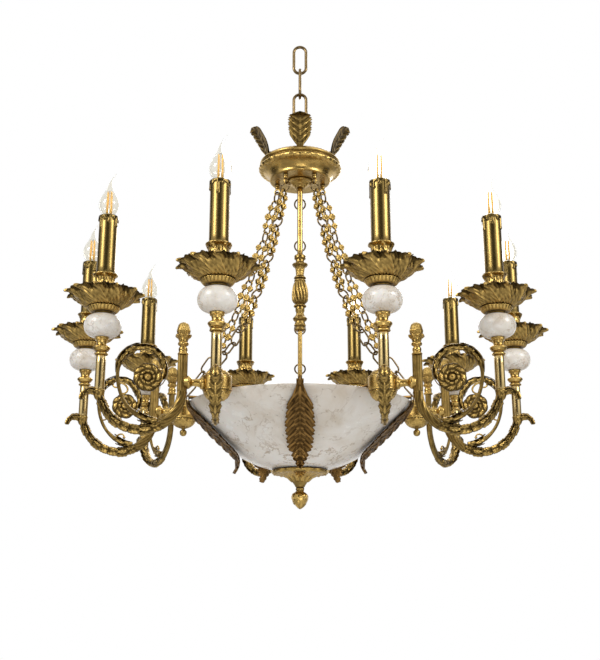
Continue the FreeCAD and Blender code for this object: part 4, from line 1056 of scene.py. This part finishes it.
stem_collar_mesh = build("stem_collar_mesh", [lathe(
    [(5.2, -48), (10, -48), (10, -45, 1), (8, -43), (8.6, -42), (12, -39, 1), (12, -34, 1.5), (9.4, -32.5),
     (8, -31, -1), (8.4, -27, -0.4), (9, -24), (11, -22, 1), (10.4, -21), (11, -19, 1), (5.2, -19), (5.2, -48)],
     84,
    collar_relief, 0.7, ring=True, tone=0.8)], antique_brass)
ball_mesh = build("ball_mesh", [lathe([(5.2, -19), (12, -19), (13.5, -18.9), (30, 0, 5), (13.5, 18.9, 5),
                                       (12, 19), (5.2, 19), (5.2, -19)], 96, None, 1.4, ring=True)], ball_stone)


def fluted_relief(angle, radius, height):
    flute = 1.1 * (np.abs(np.cos(12 * angle)) ** 0.6 - 0.8)
    return flute * np.interp(height, [22, 23.5, 29, 30], [0, 1, 1, 0]) * (radius > 13.6)


fluted_mesh = build("fluted_cup_mesh", [lathe(
    [(5.2, 19), (12.5, 19), (14.5, 20.5), (13.5, 22, 0.6), (25.2, 28, 2.5), (25.5, 31, 0.8), (5.2, 31),
     (5.2, 19)],
    240, fluted_relief, 0.6, ring=True, tone=0.75)], antique_brass)


def bobeche_surface():
    """Dish of eleven twisted acanthus leaves, ragged and turned down at the rim."""
    line = [(23.5, 31), (48.8, 48, 2.5), (61, 56, -1.5), (60, 58.5, 0.6), (46.8, 50.5, 1.5), (22.5, 33.6, -2.5),
            (5.2, 33.6), (5.2, 31), (23.5, 31)]

    def relief(angle, radius, height):
        share = np.clip((radius - 22) / 38, 0, 1)
        twisted = angle + 0.55 * share
        big = leaves_round(twisted, share, -0.12, 1.02, 11, 5)
        small = leaves_round(twisted, share, 0.0, 0.75, 11, 3, 0.5)
        folds = 0.35 * np.sin(33 * twisted + 9 * share)
        return (2.8 * np.maximum(big, 0.75 * small) + folds - 0.9) * np.clip((radius - 21) / 3, 0, 1) \
            * np.clip((height - 31) / 1.5, 0, 1)

    grid, tones, joined, ring = lathe(line, 396, relief, 0.95, 0.3, ring=True)
    radius = np.hypot(grid[..., 0], grid[..., 1])
    angle = np.arctan2(grid[..., 1], grid[..., 0]) + 0.55 * np.clip((radius - 22) / 38, 0, 1)
    share = np.clip((radius - 40) / 21, 0, 1) ** 1.5
    lobe = np.abs(np.sin(5.5 * angle)) ** 0.6
    finger = np.abs(np.sin(27.5 * angle)) ** 0.7
    shrink = 1 + share * (0.05 - 0.2 * (1 - lobe) - 0.08 * (1 - finger))
    grid[..., 0] *= shrink
    grid[..., 1] *= shrink
    grid[..., 2] += share * (2.2 * np.cos(11 * angle) - 2.6 + 1.2 * np.cos(22 * angle + 1))
    return grid, np.clip(tones, 0, 1), joined, ring


bobeche_mesh = build("bobeche_mesh", [bobeche_surface()], antique_brass)


def candle_cup_relief(angle, radius, height):
    twisted = angle + 0.018 * (height - 34)
    leaves = 1.9 * leaves_round(twisted, height, 38, 84, 5, 5) \
        + 1.1 * leaves_round(twisted, height, 44, 80, 5, 4, 0.5)
    foot = 0.8 * leaves_round(angle, height, 34, 41, 10, 2)
    lip = 0.9 * np.abs(np.sin(5 * angle)) ** 0.5 * np.interp(height, [81, 84, 86.5, 87], [0, 1, 1, 0])
    return np.where(radius > 13, np.maximum(leaves, foot) + lip - 0.5, 0) * (height < 86.9)


candle_cup_mesh = build("candle_cup_mesh", [lathe(
    [(5.2, 33.6), (14.7, 33.6), (16.7, 39.5, 1), (13.7, 47.5, -1), (14.7, 71, -0.6), (18.6, 84, -1.5),
     (19, 87, 1), (15.3, 87), (15.3, 82), (5.2, 82), (5.2, 33.6)], 192, candle_cup_relief, 0.9, 0.45, ring=True)],
     antique_brass)

DRIPS = ((10, 24, 2.4), (70, 14, 2.0), (125, 20, 2.6), (185, 12, 2.0), (235, 26, 2.3), (300, 16, 2.6),
         (40, 9, 1.8), (98, 8, 1.8), (155, 10, 2.0), (210, 8, 1.7), (268, 10, 2.2), (335, 9, 2.2))


def drip_relief(angle, radius, height):
    """Wax that ran over the sleeve's lip: a wavy collar and rounded runs with a bead at the end."""
    degrees = np.degrees(angle)
    lift = 1.2 * np.clip((height - 181.5 - 1.2 * np.cos(9 * angle)) / 1.2, 0, 1) + 0 * degrees
    for turn, drop, width in DRIPS:
        off = np.radians((degrees - turn + 180) % 360 - 180) * 15.0
        down = height - (187 - drop)
        wide = width * (0.72 + 0.35 * np.exp(-((down - width) / 2.2) ** 2))
        body = np.clip(1 - (off / wide) ** 2, 0, 1)
        end = np.sqrt(np.clip(1 - (np.clip(width - down, 0, width) / width) ** 2, 0, 1)) * (down > 0)
        lift = np.maximum(lift, 1.5 * np.sqrt(body) * end * (1 + 0.25 * np.exp(-((down - width) / 2.2) ** 2)))
    return np.where((radius > 14.9) & (height < 186.9), lift, 0)


sleeve_grid = lathe([(13.8, 82), (15, 82), (15, 158, 0)], 96, None, 9, 0.95)
sleeve_top = lathe([(15, 158), (15, 187, 0), (13.8, 187), (13.8, 82)], 144, drip_relief, 0.7, 0.95)
tone_top = np.where(sleeve_top[1] > 1.0, 0.5 + 0.3 * (sleeve_top[1] - 0.95), 0.95)
sleeve_mesh = build("sleeve_mesh", [sleeve_grid, (sleeve_top[0], tone_top, True, False)], satin_brass)


def plastic(name, colour, roughness):
    """Moulded holder plastic with a faint grain."""
    material, tree, shader = blank(name, Base_Color=linear(colour))
    where = add(tree, "ShaderNodeTexCoord")
    grain = add(tree, "ShaderNodeTexNoise", {"Scale": 1 / (0.8 * MM)}, {"Vector": where.outputs["Object"]})
    rough = add(tree, "ShaderNodeMapRange", {"To Min": roughness - 0.05, "To Max": roughness + 0.1},
                {"Value": grain.outputs["Fac"]})
    tree.links.new(rough.outputs[0], shader.inputs["Roughness"])
    return material


holder_plastic = plastic("black_holder_plastic", "#1C1A18", 0.45)
holder_mesh = build("lampholder_mesh", [lathe(
    [(5.2, 82), (12.5, 82), (12.5, 96), (11.8, 97), (11.8, 166), (12.5, 167), (12.5, 184.4), (11.9, 185),
     (7.6, 185), (7.25, 184.4), (7.25, 158), (0, 158), (0, 96), (5.2, 94), (5.2, 82)], 56, None, 6, 0.7, ring=True)],
     holder_plastic)
CANDLE_PIECES = (("stem_tubes", stem_mesh, "antique_brass"),
                 ("stem_collars", stem_collar_mesh, "antique_brass"),
                 ("alabaster_balls", ball_mesh, "alabaster"), ("fluted_cups", fluted_mesh, "antique_brass"),
                 ("bobeches", bobeche_mesh, "antique_brass"), ("candle_cups", candle_cup_mesh, "antique_brass"),
                 ("candle_sleeves", sleeve_mesh, "satin_brass"), ("lampholders", holder_mesh, "holder_plastic"))
CANDLE_AZIMUTHS = [18 + 36 * i for i in range(10)]
for number, azimuth in enumerate(CANDLE_AZIMUTHS):
    for node, mesh, slot_name in CANDLE_PIECES:
        fixed("%s_%d" % (node, number + 1), mesh, node, slot_name, **at_azimuth(azimuth, CANDLE_RING))


# ---- bulbs: clear blown flame bulbs with a bent tip, four phosphor filaments and a screw cap ----
# The glass is 0.8 mm thick; the filaments hang on thin wires from a glass stem.
cap_metal = steel("nickel_cap_metal", "#B9B4A8", 0.28)
clear_glass = blank("clear_bulb_glass", Base_Color=linear("#F3F1EA"), Transmission_Weight=1.0, Roughness=0.02,
                    IOR=1.47)[0]


def screw_thread(angle, radius, height):
    return np.where((height > 163.6) & (height < 180) & (radius > 6.5),
                    -0.28 * (0.5 + 0.5 * np.cos(2 * math.pi * height / 2.8 - angle)), 0)


cap_mesh = build("bulb_cap_mesh", [
    lathe([(0, 158.3), (2.4, 158.3), (2.4, 159.3), (4.95, 161.3), (6.95, 163.3), (6.95, 181), (6.5, 182),
           (6.8, 183), (6.8, 184.3), (0, 184.3)], 48, screw_thread, 0.5, 0.9)], cap_metal)


def bulb_shell(inset):
    """Corners of the flame envelope up to its drawn tip."""
    return [(0, 184.6 + inset), (5.9 - inset, 184.6 + inset), (6.4 - inset, 188.3), (17.5 - inset, 206.3, 2.2),
            (9.6 - inset * 0.9, 229.3, 2.0), (3.4 - inset * 0.8, 247, -0.8), (1.6 - inset * 0.5, 256, -0.2)]


def leaning(surface):
    """Bends the drawn tip to one side."""
    grid = surface[0].copy()
    share = np.clip((grid[..., 2] - 243) / 22, 0, 1)
    grid[..., 0] += 9 * share ** 1.6
    return (grid,) + surface[1:]


inside = bulb_shell(0.8)
shell = bulb_shell(0) + [(0.7, 264, 0), (0, 264.8, 0.2), (0, 258, 0), (inside[6][0], inside[6][1], 0)]
for number in (5, 4, 3, 2, 1, 0):
    bulge = inside[number + 1][2] if len(inside[number + 1]) == 3 else 0
    shell.append((inside[number][0], inside[number][1], -bulge))
shell.append((0, 184.6))
glass_mesh = build("bulb_glass_mesh", [leaning(lathe(shell, 64, None, 1.3, ring=True))], clear_glass)
stem_glass_mesh = build("glass_stem_mesh", [
    lathe([(0, 184.9), (4.6, 185.4), (3.4, 190, -0.6), (1.4, 198, -0.6), (1.1, 204), (0, 205)], 24, None, 1.5)],
    clear_glass)


def filament_material():
    """Yellow phosphor over tiny chips, a little brighter where the chips sit."""
    material, tree, shader = blank("phosphor_filament", Emission_Strength=0.35, Roughness=0.5)
    where = add(tree, "ShaderNodeTexCoord")
    chips = add(tree, "ShaderNodeTexWave", {"Scale": 1 / (6.5 * MM), "bands_direction": "Z"},
                {"Vector": where.outputs["Object"]})
    tone = add(tree, "ShaderNodeMix", {"data_type": "RGBA"}, {0: chips.outputs["Fac"]})
    tone.inputs[6].default_value = linear("#F2B445")
    tone.inputs[7].default_value = linear("#FFD680")
    tree.links.new(tone.outputs[2], shader.inputs["Base Color"])
    tree.links.new(tone.outputs[2], shader.inputs["Emission Color"])
    return material


phosphor = filament_material()
wire_metal = steel("filament_wire_metal", "#8F8C88", 0.3)


def rod_between(start, end, radius, sides=8):
    """Straight round rod from one point to another."""
    start, end = np.array(start, float), np.array(end, float)
    run = end - start
    side = np.cross(run, [0.3, 1, 0.2])
    side /= np.linalg.norm(side)
    other = np.cross(run, side) / np.linalg.norm(run)
    angle = np.linspace(0, 2 * math.pi, sides, endpoint=False)
    ring = radius * (side * np.cos(angle)[:, None] + other * np.sin(angle)[:, None])
    grid = np.stack([start + ring, start * 0.5 + end * 0.5 + ring, end + ring])
    return capped(grid), 0.9, True, False


filaments, wires = [], []
for turn in range(4):
    along = math.radians(45 + 90 * turn)
    x, y = math.cos(along), math.sin(along)
    filaments.append(rod_between((4.6 * x, 4.6 * y, 193), (4.0 * x, 4.0 * y, 231), 1.3, 10))
    wires.append(rod_between((1.2 * x, 1.2 * y, 200.5), (4.6 * x, 4.6 * y, 192.6), 0.22))
    wires.append(rod_between((4.0 * x, 4.0 * y, 231.3), (0, 0, 234), 0.22))
wires.append(rod_between((0, 0, 203.5), (0, 0, 234.4), 0.25))
filament_mesh = build("filament_mesh", filaments, phosphor)
wire_mesh = build("filament_wire_mesh", wires, wire_metal)
GLASS_PIECES = (("envelope", glass_mesh, "bulb_glass"), ("glass_stem", stem_glass_mesh, "bulb_glass"),
                ("filaments", filament_mesh, "cap_metal"), ("wires", wire_mesh, "cap_metal"))
for number, azimuth in enumerate(CANDLE_AZIMUTHS, 1):
    place = at_azimuth(azimuth, CANDLE_RING)
    body = "bulb_%d" % number
    put("screw_cap_%d" % number, cap_mesh, body, ["bulb_cap_%d" % number], "cap_metal", **place)
    place["turn"] = 0
    for name, mesh, slot_name in GLASS_PIECES:
        put("%s_%d" % (name, number), mesh, body, ["bulb_glass_%d" % number], slot_name, **place)
